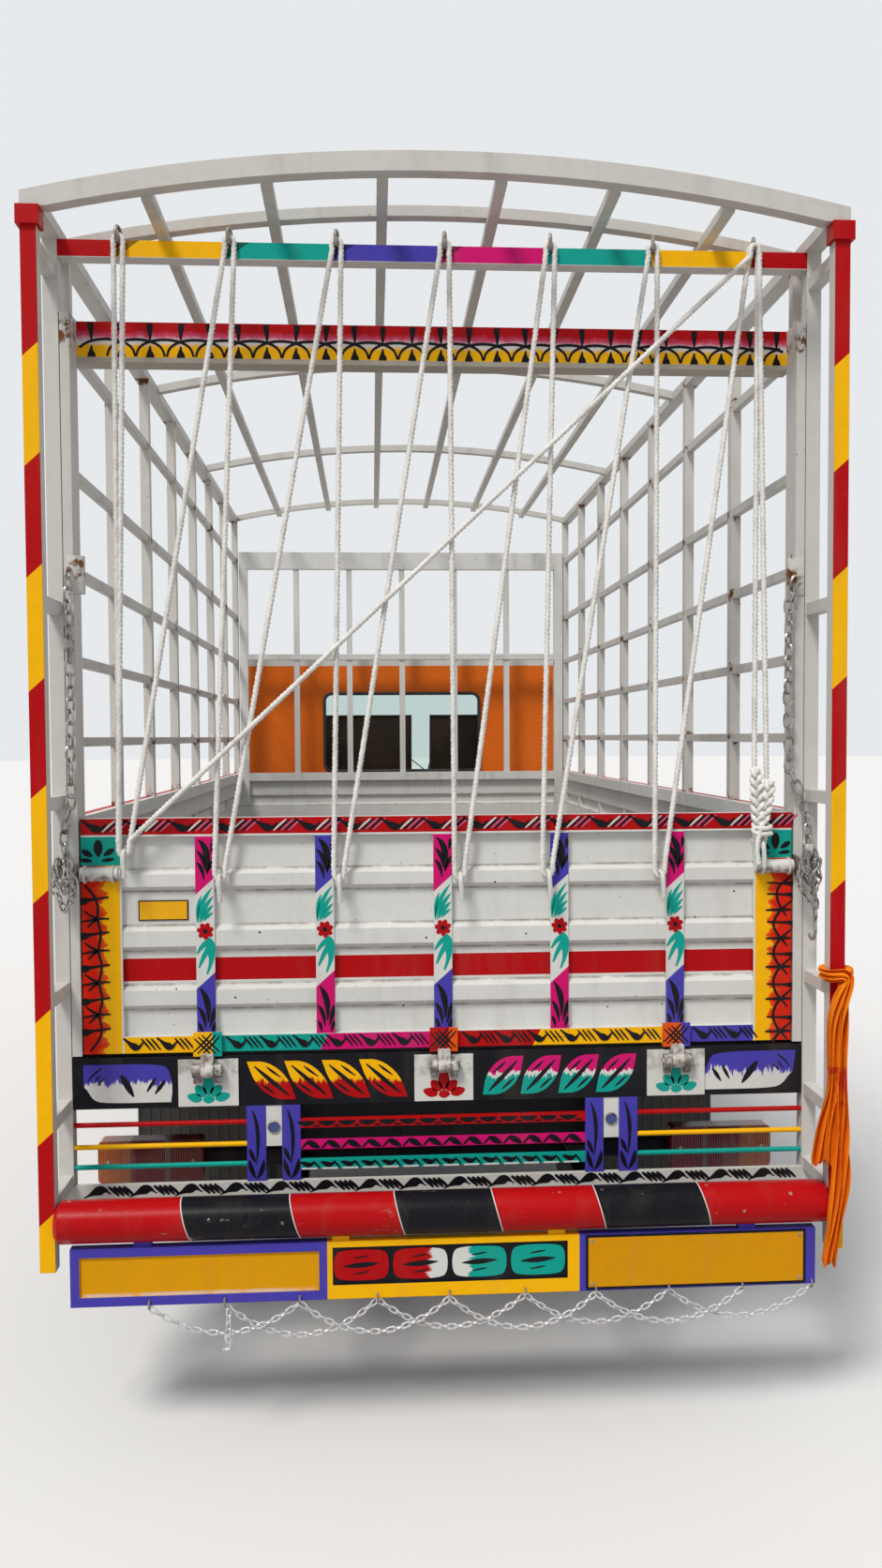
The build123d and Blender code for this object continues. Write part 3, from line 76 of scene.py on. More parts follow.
# Chassis: two pressed channel rails with riveted cross members, and the axles and shaft
# below them. All of it is steel under one coat of black chassis paint, dulled by road
# dust and oil. Its finish is worked out from where each point lies, in metres.
class Field:
    """A number that changes over a surface, which Python's operators build on."""

    def __init__(self, finish, socket):
        self.finish = finish
        self.socket = socket

    def maths(self, operation, *values):
        node = self.finish.node("ShaderNodeMath", {"operation": operation})
        for place, value in enumerate(values):
            self.finish.feed(node.inputs[place], value)
        return Field(self.finish, node.outputs[0])

    def paired(operation):
        return lambda self, other: self.maths(operation, self, other)

    __add__ = __radd__ = paired("ADD")
    __mul__ = __rmul__ = paired("MULTIPLY")
    __sub__ = paired("SUBTRACT")
    __truediv__ = paired("DIVIDE")
    __mod__ = paired("FLOORED_MODULO")
    __gt__ = paired("GREATER_THAN")
    __lt__ = paired("LESS_THAN")
    most = paired("MAXIMUM")
    least = paired("MINIMUM")

    def __abs__(self):
        return self.maths("ABSOLUTE", self)

    def rise(self, low, high):
        """0 below low, 1 above high, and an even slope between."""
        node = self.finish.node("ShaderNodeMapRange", {"clamp": True}, Value=self,
                                From_Min=low, From_Max=high)
        return Field(self.finish, node.outputs[0])

    def between(self, low, high):
        return (self > low) * (self < high)

    def ridges(self, pitch):
        """0.5 at every pitch, falling evenly to 0 midway between."""
        return abs((self / pitch) % 1 - 0.5)

    def near(self, marks, reach):
        """1 at any of the marks, falling to 0 at reach from it."""
        closest = abs(self - marks[0])
        for mark in marks[1:]:
            closest = closest.least(abs(self - mark))
        return closest.rise(reach, 0)


class Finish:
    """A material whose nodes are asked for by type, settings and inputs."""

    def __init__(self, name):
        self.material = bpy.data.materials.new(name)
        self.material.use_nodes = True
        self.tree = self.material.node_tree
        self.shader = self.tree.nodes["Principled BSDF"]
        self.place = self.node("ShaderNodeTexCoord").outputs["Object"]
        axes = self.node("ShaderNodeSeparateXYZ", Vector=self.place).outputs
        self.x, self.y, self.z = (Field(self, axis) for axis in axes)

    def feed(self, socket, value):
        """Links a field or an output to a socket, or sets it; a name is an enamel's."""
        if isinstance(value, str):
            value = enamel[value]
        if isinstance(value, Field):
            value = value.socket
        if isinstance(value, bpy.types.NodeSocket):
            self.tree.links.new(value, socket)
        else:
            socket.default_value = (*value, 1) if socket.type == "RGBA" else value

    def node(self, kind, settings=None, **inputs):
        node = self.tree.nodes.new(kind)
        for key, value in (settings or {}).items():
            setattr(node, key, value)
        for key, value in inputs.items():
            names = (key, key.replace("_", " "))
            socket = next(s for s in node.inputs
                          if s.enabled and (s.identifier in names or s.name in names))
            self.feed(socket, value)
        return node

    def layers(self, colour, *coats):
        """A colour under coats, each a share and the colour that covers where it is 1."""
        for share, over in coats:
            colour = self.node("ShaderNodeMix", {"data_type": "RGBA"}, Factor=share, A=colour,
                               B=over).outputs["Result"]
        return colour

    def noise(self, scale, detail=3.0, rough=0.55, stretch=(1, 1, 1)):
        spread = self.node("ShaderNodeMapping", Vector=self.place, Scale=stretch).outputs[0]
        node = self.node("ShaderNodeTexNoise", Vector=spread, Scale=scale, Detail=detail,
                         Roughness=rough)
        return Field(self, node.outputs[0])

    def chips(self, scale, reach):
        """1 inside scattered small chips, which a cell's size spaces and reach sizes."""
        cells = self.node("ShaderNodeTexVoronoi", Vector=self.place, Scale=scale).outputs
        ragged = Field(self, cells["Distance"]) + self.noise(scale * 9, 2.0) * reach - reach * 0.5
        return ragged.rise(reach, reach * 0.8)

    def surface(self, colour, roughness, metallic=0.0, height=None, height_size=0.001, edge=0.0,
                **fixed):
        """Sets what the shader shows; height is a field that becomes bump, and fixed
        inputs are the same all over."""
        shown = {"Base Color": colour, "Roughness": roughness, "Metallic": metallic}
        shown.update((key.replace("_", " "), value) for key, value in fixed.items())
        if edge:
            shown["Normal"] = self.node("ShaderNodeBevel", {"samples": 4}, Radius=edge).outputs[0]
        if height is not None:
            bump = self.node("ShaderNodeBump", Height=height, Distance=height_size)
            if edge:
                self.feed(bump.inputs["Normal"], shown["Normal"])
            shown["Normal"] = bump.outputs[0]
        for key, value in shown.items():
            self.feed(self.shader.inputs[key], value)
        return self.material


enamel = {
    "black": (0.006, 0.006, 0.009), "white": (0.65, 0.65, 0.62), "cream": (0.58, 0.565, 0.53),
    "red": (0.42, 0.002, 0.004), "magenta": (0.60, 0.005, 0.15), "pink": (0.62, 0.10, 0.20),
    "violet": (0.060, 0.048, 0.38), "teal": (0.003, 0.33, 0.27), "yellow": (0.90, 0.46, 0.001),
    "orange": (0.72, 0.085, 0.003), "cab_orange": (0.74, 0.15, 0.012)}
road_dust = (0.17, 0.135, 0.095)
rust_brown = (0.16, 0.06, 0.02)


def coat_paint(finish, colour, dirt, rust=0.35, gloss=0.35, edge=0.002, weld=None):
    """Brushed enamel over steel: uneven colour, dust, grime that gathers in streaks, and
    rust that breaks through in specks, and round a weld where one is given."""
    patches = finish.noise(2.2, 4.0)
    fine = finish.noise(38.0, 3.0, 0.6)
    tone = finish.node("ShaderNodeHueSaturation", Value=patches * 0.26 + fine * 0.16 + 0.79,
                       Color=colour).outputs[0]
    streaks = finish.noise(9.0, 4.0, 0.6, (1.4, 1.4, 0.16)).rise(0.54, 0.80)
    grime = (streaks * 0.38 + patches.rise(0.55, 0.8) * 0.2 + fine.rise(0.60, 0.85) * 0.12) * dirt
    breaks = finish.noise(26.0, 6.0, 0.72)
    specks = breaks.rise(0.735 - 0.06 * rust, 0.76) * min(1, rust * 3)
    if weld is not None:
        specks = specks.most((breaks + weld * 0.2).rise(0.66, 0.74))
    return finish.surface(finish.layers(tone, (grime, road_dust), (specks, rust_brown)),
                          fine * 0.18 + gloss + specks * 0.4 + grime * 0.35,
                          height=finish.noise(60.0, 2.0) * 0.5 + specks * 0.5, height_size=0.0006,
                          edge=edge, Specular_IOR_Level=0.12)


def clothe(material, *nodes):
    """Gives carried-over pieces their finish."""
    for node in nodes:
        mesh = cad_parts[node].data
        mesh.materials.clear()
        mesh.materials.append(material)


chassis_black = coat_paint(Finish("chassis_paint"), (0.03, 0.03, 0.033), dirt=0.9, rust=0.5)
clothe(chassis_black, "chassis_frame", "rear_axle", "front_axle", "driveshaft")


# Springs: packs of bent steel leaves, rusty and dry, each clamped to its axle by two
# U-bolts of round bar over a plate, with nuts below.
def shape_mesh(name, bm):
    """The mesh of a bmesh that is finished, with its faces turned outward."""
    bmesh.ops.recalc_face_normals(bm, faces=bm.faces)
    mesh = bpy.data.meshes.new(name)
    bm.to_mesh(mesh)
    bm.free()
    return mesh


def keep_mesh(name, bm, *materials, body="root", slot=None, smooth=None):
    """Makes a finished piece of a bmesh, in place, and fixes it to its body."""
    mesh = shape_mesh(name, bm)
    for material in materials:
        mesh.materials.append(material)
    if smooth:
        mesh.shade_smooth()
        mesh.set_sharp_from_angle(angle=radians(smooth))
    piece = bpy.data.objects.new(name, mesh)
    bpy.context.scene.collection.objects.link(piece)
    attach(piece, body)
    return piece


def line_length(points):
    return sum((after - before).length for before, after in zip(points, points[1:]))


def even_steps(points, step):
    """The same line with points at even steps along it."""
    line = [Vector(point) for point in points]
    runs = [(b - a).length for a, b in zip(line, line[1:])]
    count = ceil(sum(runs) / step)
    spread = []
    run = 0
    passed = 0.0
    for number in range(count + 1):
        along = min(sum(runs) * number / count, sum(runs) - 1e-9)
        while along > passed + runs[run]:
            passed += runs[run]
            run += 1
        spread.append(line[run].lerp(line[run + 1], (along - passed) / runs[run]))
    return spread


def tube_along(bm, points, radius, sides=8, closed=False, step=None, lobe_depth=0.0, lay=1.0):
    """A bar or rope laid along points, or at even steps along them: a grid is wrapped round
    them and its seam welded. A lobe depth gives a rope's three strands, turned once a lay."""
    line = even_steps(points, step) if step else [Vector(point) for point in points]
    count = len(line)
    rows = count + 1 if closed else count
    grid = bmesh.ops.create_grid(bm, x_segments=rows - 1, y_segments=sides, size=0.5)["verts"]
    ways = []
    for number in range(count):
        before = line[number - 1] if closed or number else line[0]
        after = line[(number + 1) % count] if closed or number < count - 1 else line[-1]
        ways.append((after - before).normalized())
    across = ways[0].orthogonal().normalized()
    if abs(ways[0].y) < 0.9:
        across = (Vector((0, 1, 0)) - ways[0] * ways[0].y).normalized()
    frames = []
    passed = 0.0
    for number, way in enumerate(ways):
        across = (across - way * across.dot(way)).normalized()
        frames.append((line[number], across, way.cross(across), passed))
        passed += (line[(number + 1) % count] - line[number]).length
    if closed:
        frames.append((line[0], frames[0][1], frames[0][2], 0.0))
    for vert in grid:
        place, across, upward, passed = frames[round((vert.co.x + 0.5) * (rows - 1))]
        angle = 2 * pi * (vert.co.y + 0.5)
        swell = 1 + lobe_depth * cos(3 * (angle - 2 * pi * passed / lay))
        vert.co = place + (across * cos(angle) + upward * sin(angle)) * radius * swell
    bmesh.ops.remove_doubles(bm, verts=grid, dist=radius * 0.02)
    if not closed:
        edges = [e for v in grid if v.is_valid for e in v.link_edges if e.is_boundary]
        bmesh.ops.holes_fill(bm, edges=list(set(edges)), sides=sides)


def stamp(bm, mesh, matrix):
    """Adds a copy of a mesh that is repeated, moved to its place."""
    first = len(bm.verts)
    bm.from_mesh(mesh)
    bm.verts.ensure_lookup_table()
    fresh = bm.verts[first:]
    bmesh.ops.transform(bm, matrix=matrix, verts=fresh)
    if matrix.determinant() < 0:
        faces = list({face for vert in fresh for face in vert.link_faces})
        bmesh.ops.reverse_faces(bm, faces=faces)


def block(bm, low, high, edge):
    """A plate or bar between two corners, with its edges eased."""
    low, high = Vector(low), Vector(high)
    matrix = Matrix.Translation((low + high) / 2) @ Matrix.Diagonal((*(high - low), 1))
    made = bmesh.ops.create_cube(bm, size=1, matrix=matrix)["verts"]
    edges = list({e for v in made for e in v.link_edges})
    bmesh.ops.bevel(bm, geom=edges, offset=edge, affect="EDGES", segments=2, profile=0.5,
                    material=-1)


def disc_along(bm, place, way, radius, depth, sides, far_radius=None):
    """A round or many-sided boss that starts at place and points along way."""
    way = Vector(way).normalized()
    turn = way.to_track_quat("Z", "Y").to_matrix().to_4x4()
    middle = Vector(place) + way * depth / 2
    bmesh.ops.create_cone(bm, cap_ends=True, segments=sides, radius1=radius,
                          radius2=radius if far_radius is None else far_radius, depth=depth,
                          matrix=Matrix.Translation(middle) @ turn)


spring_steel = coat_paint(Finish("spring_steel"), (0.05, 0.045, 0.04), dirt=1.0, rust=1.0)
clothe(spring_steel, "leaf_springs")
bolts = bmesh.new()
spring_x = 0.345
leg_reach = 0.041
bolt_reach = 0.062
for axle_y, top_z, low_z in ((-1.300, 0.486, 0.322), (1.750, 0.418, 0.300)):
    for side in (-1, 1):
        for bolt_y in (axle_y - bolt_reach, axle_y + bolt_reach):
            bend = [(side * (spring_x + across), bolt_y, z) for across, z in (
                (-leg_reach, low_z - 0.03), (-leg_reach, top_z - 0.004), (-0.035, top_z + 0.007),
                (0.035, top_z + 0.007), (leg_reach, top_z - 0.004), (leg_reach, low_z - 0.03))]
            tube_along(bolts, bend, 0.008)
            for leg_x, _, _ in (bend[0], bend[-1]):
                disc_along(bolts, (leg_x, bolt_y, low_z - 0.011), (0, 0, -1), 0.014, 0.013, 6)
        block(bolts, (side * spring_x - 0.055, axle_y - 0.078, low_z - 0.011),
              (side * spring_x + 0.055, axle_y + 0.078, low_z + 0.003), 0.002)
keep_mesh("spring_bolts", bolts, spring_steel, slot="spring_steel", smooth=35)

# Running gear: cast and forged pieces, dark with old oil, and the silencer and the fuel
# tank, which are pressed sheet.
casting_grey = coat_paint(Finish("engine_metal"), (0.10, 0.10, 0.10), dirt=0.9, rust=0.6)
clothe(casting_grey, "engine_block", "knuckle_left", "knuckle_right", "track_rod")
clothe(coat_paint(Finish("tank_metal"), (0.20, 0.20, 0.20), dirt=0.8, rust=0.4), "fuel_tank",
       "exhaust")
tank_fittings = bmesh.new()
disc_along(tank_fittings, (-0.64, 0.10, 0.728), (0, 0, 1), 0.048, 0.014, 28)
disc_along(tank_fittings, (-0.64, 0.10, 0.742), (0, 0, 1), 0.056, 0.020, 12)
strap_outline = (
    (-0.405, 0.728), (-0.437, 0.7325), (-0.680, 0.7325), (-0.7225, 0.7175), (-0.7375, 0.675),
    (-0.7375, 0.495), (-0.7225, 0.4525), (-0.680, 0.4375), (-0.437, 0.4375), (-0.405, 0.442))
for strap_y in (-0.27, 0.18):
    bars = [tank_fittings.verts.new((x, strap_y - 0.02, z)) for x, z in strap_outline]
    edges = [tank_fittings.edges.new(pair) for pair in zip(bars, bars[1:])]
    swept = bmesh.ops.extrude_edge_only(tank_fittings, edges=edges)["geom"]
    bmesh.ops.translate(tank_fittings, vec=(0, 0.04, 0),
                        verts=[v for v in swept if isinstance(v, bmesh.types.BMVert)])
    band = [f for f in swept if isinstance(f, bmesh.types.BMFace)]
    bmesh.ops.recalc_face_normals(tank_fittings, faces=band)
    bmesh.ops.solidify(tank_fittings, geom=band, thickness=0.002)
keep_mesh("tank_fittings", tank_fittings, casting_grey, slot="engine_metal", smooth=35)

# Wheels: pressed steel rims in grey paint, held by six nuts, with a cap over each hub,
# and ribbed rubber tyres whose shoulders are notched. They carry the road's dust.
rim_grey = coat_paint(Finish("rim_paint"), (0.45, 0.45, 0.43), dirt=0.9, rust=0.6)
clothe(rim_grey, "rim_front_left", "rim_front_right", "rims_rear_left", "rims_rear_right")
rubber = Finish("tyre_rubber")
wheel_dust = rubber.noise(14.0, 4.0).rise(0.4, 0.75) * 0.6
tyre_rubber = rubber.surface(
    rubber.layers((0.018, 0.018, 0.018), (wheel_dust, (0.10, 0.09, 0.075))),
    wheel_dust * 0.2 + 0.65, height=rubber.noise(180.0), height_size=0.0006)
tyre_outline = (  # across from the tyre's middle, out from the axle, in millimetres
    (52, 205.3), (58, 208), (70, 212), (72.5, 221), (79, 236), (87, 258), (93, 280), (95, 295),
    (95, 302), (93.5, 304), (94, 318), (91, 336), (87, 350), (80, 362), (71, 369), (50, 372.5),
    (48, 363), (40, 363), (38, 373.5), (19, 374.5), (17.5, 364), (9.5, 364), (8, 374.8))
tyre_inside = ((57, 225), (79, 291), (73, 341))
tyre_bm = bmesh.new()
loop = ([(-x, r) for x, r in tyre_inside[::-1] + tyre_outline]
        + [(x, r) for x, r in tyre_outline[::-1] + tyre_inside])
ring = [tyre_bm.verts.new((x / 1000, 0, r / 1000)) for x, r in loop]
edges = [tyre_bm.edges.new(pair) for pair in zip(ring, ring[1:] + ring[:1])]
bmesh.ops.spin(tyre_bm, geom=ring + edges, cent=(0, 0, 0), axis=(1, 0, 0), angle=2 * pi,
               steps=72, use_merge=True)
bmesh.ops.recalc_face_normals(tyre_bm, faces=tyre_bm.faces)
shoulder_x = 0.0715
tread_reach = 0.361
tread = [face for face in tyre_bm.faces if face.calc_center_median().yz.length > tread_reach]
for face in [face for face in tread if abs(face.calc_center_median().x) > shoulder_x]:
    beside = [other for edge in face.edges for other in edge.link_faces
              if other is not face and abs(other.calc_center_median().x) < shoulder_x
              and other.calc_center_median().yz.length > tread_reach]
    bmesh.ops.inset_region(tyre_bm, faces=[face] + beside, thickness=0.0095, depth=-0.008,
                           use_even_offset=True)
tyre_mesh = shape_mesh("tyre_shape", tyre_bm)
wheel_nut = bmesh.new()
for start, radius, depth, sides in ((0, 0.022, 0.003, 16), (0.003, 0.0165, 0.016, 6),
                                    (0.019, 0.008, 0.009, 8)):
    disc_along(wheel_nut, (start, 0, 0), (1, 0, 0), radius, depth, sides)
nut_mesh = shape_mesh("wheel_nut_shape", wheel_nut)
nut_circle = 0.092
axle_z = 0.375
cap_wall = 0.004
for body, node, axle_y, middles, face_x, cap_reach, cap_radius in (
        ("wheel_front", "tyre_front", 1.750, (0.765,), 0.795, 0.037, 0.045),
        ("wheels_rear", "tyres_rear", -1.300, (0.590, 0.815), 0.7125, 0.0935, 0.052)):
    for side_name, side in (("left", -1), ("right", 1)):
        tyres = bmesh.new()
        for middle_x in middles:
            stamp(tyres, tyre_mesh, Matrix.Translation((side * middle_x, axle_y, axle_z)))
        piece = keep_mesh(f"{node}_tread_{side_name}", tyres, tyre_rubber,
                          body=f"{body}_{side_name}", slot="tyre", smooth=32)
        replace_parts(piece, f"{node}_{side_name}")
        fittings = bmesh.new()
        for number in range(6):
            angle = 2 * pi * (number + 0.5) / 6
            place = Matrix.Translation((side * face_x, axle_y + nut_circle * cos(angle),
                                        axle_z + nut_circle * sin(angle)))
            stamp(fittings, nut_mesh, place @ Matrix.Diagonal((side, 1, 1, 1)))
        reach = cap_reach / 4
        profile = ((0, cap_radius + 0.008), (0.003, cap_radius + 0.008), (0.004, cap_radius),
                   (reach * 3, cap_radius), (reach * 3.7, cap_radius * 0.85),
                   (reach * 4, cap_radius * 0.5), (reach * 4, 0))
        outside = [fittings.verts.new((side * (face_x + x), axle_y, axle_z + r))
                   for x, r in profile]
        cap_edges = [fittings.edges.new(pair) for pair in zip(outside, outside[1:])]
        bmesh.ops.spin(fittings, geom=outside + cap_edges, cent=(0, axle_y, axle_z),
                       axis=(1, 0, 0), angle=2 * pi, steps=32, use_merge=True)
        bmesh.ops.remove_doubles(fittings, verts=fittings.verts, dist=0.00002)
        hub = Vector((axle_y, axle_z))
        cap_faces = [f for f in fittings.faces
                     if (f.calc_center_median().yz - hub).length < cap_radius + 0.009]
        bmesh.ops.recalc_face_normals(fittings, faces=cap_faces)
        if sum(f.normal.x * side for f in cap_faces if abs(f.normal.x) > 0.99) < 0:
            bmesh.ops.reverse_faces(fittings, faces=cap_faces)
        bmesh.ops.solidify(fittings, geom=cap_faces, thickness=cap_wall)
        keep_mesh(f"{node}_nuts_{side_name}", fittings, rim_grey, body=f"{body}_{side_name}",
                  slot="rim_paint", smooth=35)

# Load floor: rolled chequer plate on cross bearers, with a channel down each side. Goods
# have polished it bare in the middle, and rust lies in its corners.
plate = Finish("floor_steel")
lozenges = [(plate.x + plate.y * slope).ridges(0.042).rise(0.34, 0.24) for slope in (0.55, -0.55)]
raised = lozenges[0] * lozenges[1]
plate_top = plate.z > 0.8845
trodden = plate.noise(1.6, 3.0).rise(0.35, 0.65) * abs(plate.x).rise(0.85, 0.45) * plate_top
bare = plate.layers((0.085, 0.06, 0.045), (trodden, (0.24, 0.235, 0.225)),
                    (plate.noise(7.0, 6.0, 0.7).rise(0.55, 0.72) * 0.8, rust_brown),
                    (raised * trodden, (0.36, 0.355, 0.34)))
clothe(plate.surface(bare, plate.noise(9.0) * 0.3 + 0.35, trodden * 0.6,
                     height=raised * plate_top, height_size=0.002), "load_floor")

# Side walls and bulkhead: ribbed sheet in welded frames, brushed white, with a red line
# along the sheet, a red top rail and painted straps, as on the tailgate. A dark brown line
# runs along each rib's edges, and ropes are made fast to round-bar cleats below.
rib_edges = (0.993, 1.053, 1.135, 1.197, 1.280, 1.334)
red_line = (1.062, 1.117)


def rib_lines_and_specks(finish, colour):
    """Dark brown lines along the edges of pressed ribs, broken up by noise, and rubbed-off specks.
    """
    rib_edge_lines = finish.z.near(rib_edges, 0.0045) * finish.noise(16.0, 4.0, 0.7).rise(0.36, 0.60)
    marks = finish.chips(17.0, 0.050).most(finish.chips(31.0, 0.045))
    return finish.layers(colour, (rib_edge_lines * 0.75, (0.13, 0.095, 0.06)),
                         (marks, (0.03, 0.022, 0.018)))


walls = Finish("wall_white")
wall_side = abs(walls.x) > 0.9
strap_gap = 0.547
strap_near = abs((walls.y + 2.105 + strap_gap / 2) % strap_gap - strap_gap / 2) < 0.0235
strap_colour = walls.layers("white", (walls.z < 1.066, "violet"), (walls.z > 1.29, "magenta"))
strap_here = strap_near * (abs(walls.x) > 0.9235) * walls.z.between(0.9295, 1.4125)
wall_colour = walls.layers("white", (walls.z.between(*red_line) * wall_side, "red"),
                           (strap_here, strap_colour), ((walls.z > 1.413) * wall_side, "red"))
clothe(coat_paint(walls, rib_lines_and_specks(walls, wall_colour), dirt=0.7, rust=0.3), "side_wall_left",
       "side_wall_right", "front_bulkhead")
rope_cleats = bmesh.new()
for side in (-1, 1):
    for number in range(8):
        bend = [(side * x, -2.3 + 0.45 * number, z) for x, z in (
            (0.922, 0.846), (0.944, 0.846), (0.952, 0.838), (0.952, 0.800))]
        tube_along(rope_cleats, bend, 0.0055, sides=6, step=0.006)

# Cage: square tube welded into rails and posts above the walls, over the load and in an
# arch behind it, white with rust at its welds.
cage = Finish("cage_white")
post_gap = 3.535 / 7
post_near = abs((cage.y + 2.505 + post_gap / 2) % post_gap - post_gap / 2).rise(0.05, 0.012)
rail_near = cage.z.near((1.456, 1.640, 1.840, 2.060, 2.300, 2.605, 2.815), 0.045)
cage_white = coat_paint(cage, "cream", dirt=0.8, rust=0.5, weld=post_near * rail_near)
clothe(cage_white, "side_grille_left", "side_grille_right", "roof_frame", "arch_hoop")
keep_mesh("rope_cleats", rope_cleats, cage_white, slot="cage_white", smooth=40)

# Corner pillars: folded angle beside the tailgate, with a staple and a chain hook welded
# to each.
pillar_paint = Finish("pillar_white")
pillar_white = coat_paint(pillar_paint, "cream", dirt=0.8, rust=0.7,
                          weld=pillar_paint.z.near((1.33, 2.04, 2.60), 0.06))
clothe(pillar_white, "rear_pillars")
staples = bmesh.new()
chain_top_z = 2.035
chain_hook_z = 1.36
pillar_face_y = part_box("rear_pillars")[0].y


def from_pillar(marks, top_z=chain_hook_z):
    """Points in metres from marks in millimetres: across, out from the pillars' face and
    up from top_z."""
    return [(x / 1000, pillar_face_y - out / 1000, top_z + up / 1000) for x, out, up in marks]


for side in (-1, 1):
    staple_x = side * 0.8685 - 0.0085
    block(staples, (staple_x - 0.008, pillar_face_y - 0.004, chain_top_z - 0.045),
          (staple_x + 0.032, pillar_face_y + 0.012, chain_top_z + 0.045), 0.002)
    tube_along(staples, from_pillar([(staple_x * 1000, out, up) for out, up in (
        (0, 12), (20, 12), (26, 4), (26, -4), (20, -12), (0, -12))], chain_top_z), 0.0045)
    tube_along(staples, from_pillar([(side * 897, out, up) for out, up in (
        (-4, 20), (18, 20), (26, 10), (28, -4), (40, -6), (46, 6), (46, 22))]), 0.006, step=0.006)
keep_mesh("pillar_staples", staples, pillar_white, slot="body_white", smooth=35)

# Side chains: short welded links of black iron that hold the tailgate when it is let
# down, now hooked up out of the way. Each hangs down its pillar and ends bunched in coils.
iron = Finish("chain_iron")
iron_wear = iron.noise(45.0, 4.0, 0.65).rise(0.42, 0.68)
chain_iron = iron.surface(iron.layers((0.42, 0.41, 0.40), (iron_wear, (0.13, 0.09, 0.065))),
                          iron_wear * 0.3 + 0.35, 0.75, height=iron_wear, height_size=0.0005)


def link_shape(name, length, width, bar):
    """One welded oval link, lying along X: a spun ring drawn out into an oval."""
    bm = bmesh.new()
    loop = bmesh.ops.create_circle(bm, segments=5, radius=bar / 2, matrix=Matrix.Translation(
        (0, (width - bar) / 2, 0)) @ Matrix.Rotation(pi / 2, 4, "Y"))["verts"]
    edges = list({e for v in loop for e in v.link_edges})
    bmesh.ops.spin(bm, geom=list(loop) + edges, cent=(0, 0, 0), axis=(0, 0, 1), angle=2 * pi,
                   steps=12, use_merge=True)
    for vert in bm.verts:
        vert.co.x += (length - width) / 2 * max(-1, min(1, vert.co.x / (width * 0.22)))
    return shape_mesh(name, bm)


def chain_along(bm, points, link_mesh, pitch, twist=0.0):
    """Links laid end to end along points, each a quarter turn from the one before."""
    places = even_steps(points, pitch)
    for number, (start, end) in enumerate(zip(places, places[1:])):
        turn = (end - start).normalized().to_track_quat("X", "Z").to_matrix().to_4x4()
        roll = Matrix.Rotation(pi / 4 + number * pi / 2 + twist * number, 4, "X")
        stamp(bm, link_mesh, Matrix.Translation((start + end) / 2) @ turn @ roll)


side_link = link_shape("side_link_shape", 0.042, 0.027, 0.0064)
small_link = link_shape("small_link_shape", 0.034, 0.021, 0.0052)
small_pitch = 0.0235
side_chains = bmesh.new()
for side in (-1, 1):
    fall_x = side * 861.5 - 15.5
    chain_along(side_chains, from_pillar((
        (side * 868.5 - 8.5, 30, 669), (fall_x, 24, 615), (fall_x, 22, 390),
        (fall_x + side * 3, 24, 200), (side * 876, 30, 145), (side * 892, 34, 90),
        (side * 898, 30, 12))), side_link, 0.0290, 0.05)
    for number, (drop, reach) in enumerate(((75, 20), (115, 34), (50, 26))):
        deep = 34 + 12 * number
        loose_loop = ((-12, deep, 4), (-reach, deep, -drop * 0.6), (-reach * 0.2, deep + 6, -drop),
                      (reach * 0.6, deep, -drop * 0.5), (8, deep, 6))
        chain_along(side_chains, from_pillar([(side * (898 + across), out, up)
                                              for across, out, up in loose_loop]),
                    small_link, small_pitch, 0.1)
chain_along(side_chains, from_pillar(((905, 40, -4), (912, 34, -100), (914, 32, -160))),
            small_link, small_pitch)
tube_along(side_chains, from_pillar(((914, 32, -155), (914, 34, -195), (910, 36, -212),
                                     (901, 36, -212), (897, 36, -198))), 0.004, step=0.006)
keep_mesh("side_chains", side_chains, chain_iron, smooth=45)

# Ladder frames: square posts joined by rungs. Their rear and outer faces are banded red
# and yellow on a slant, by masking tape; the inner faces and the front posts stay white.
posts = Finish("ladder_paint")
left_change = 1.025
right_change = 0.887
on_right = posts.x > 0
slanted = posts.z - (posts.x - on_right * 1.825 + 0.9125) * 0.9
change = on_right * (right_change - left_change) + left_change
reds = slanted.between(0.560, 0.745).most((slanted > change) * (slanted < 1.295))
reds = reds.most(slanted.between(1.530, 1.768)).most(slanted.between(2.020, 2.265))
banded = posts.layers("yellow", (reds.most(slanted > 2.505), "red"))
at_rear = posts.y < -2.70
banded_face = (posts.y < -2.7685).most(abs(posts.x) > 0.9295).most(posts.z > 2.7725) * at_rear
clothe(coat_paint(posts, posts.layers("cream", (banded_face, banded)), dirt=0.45, rust=0.4),
       "ladder_frames")


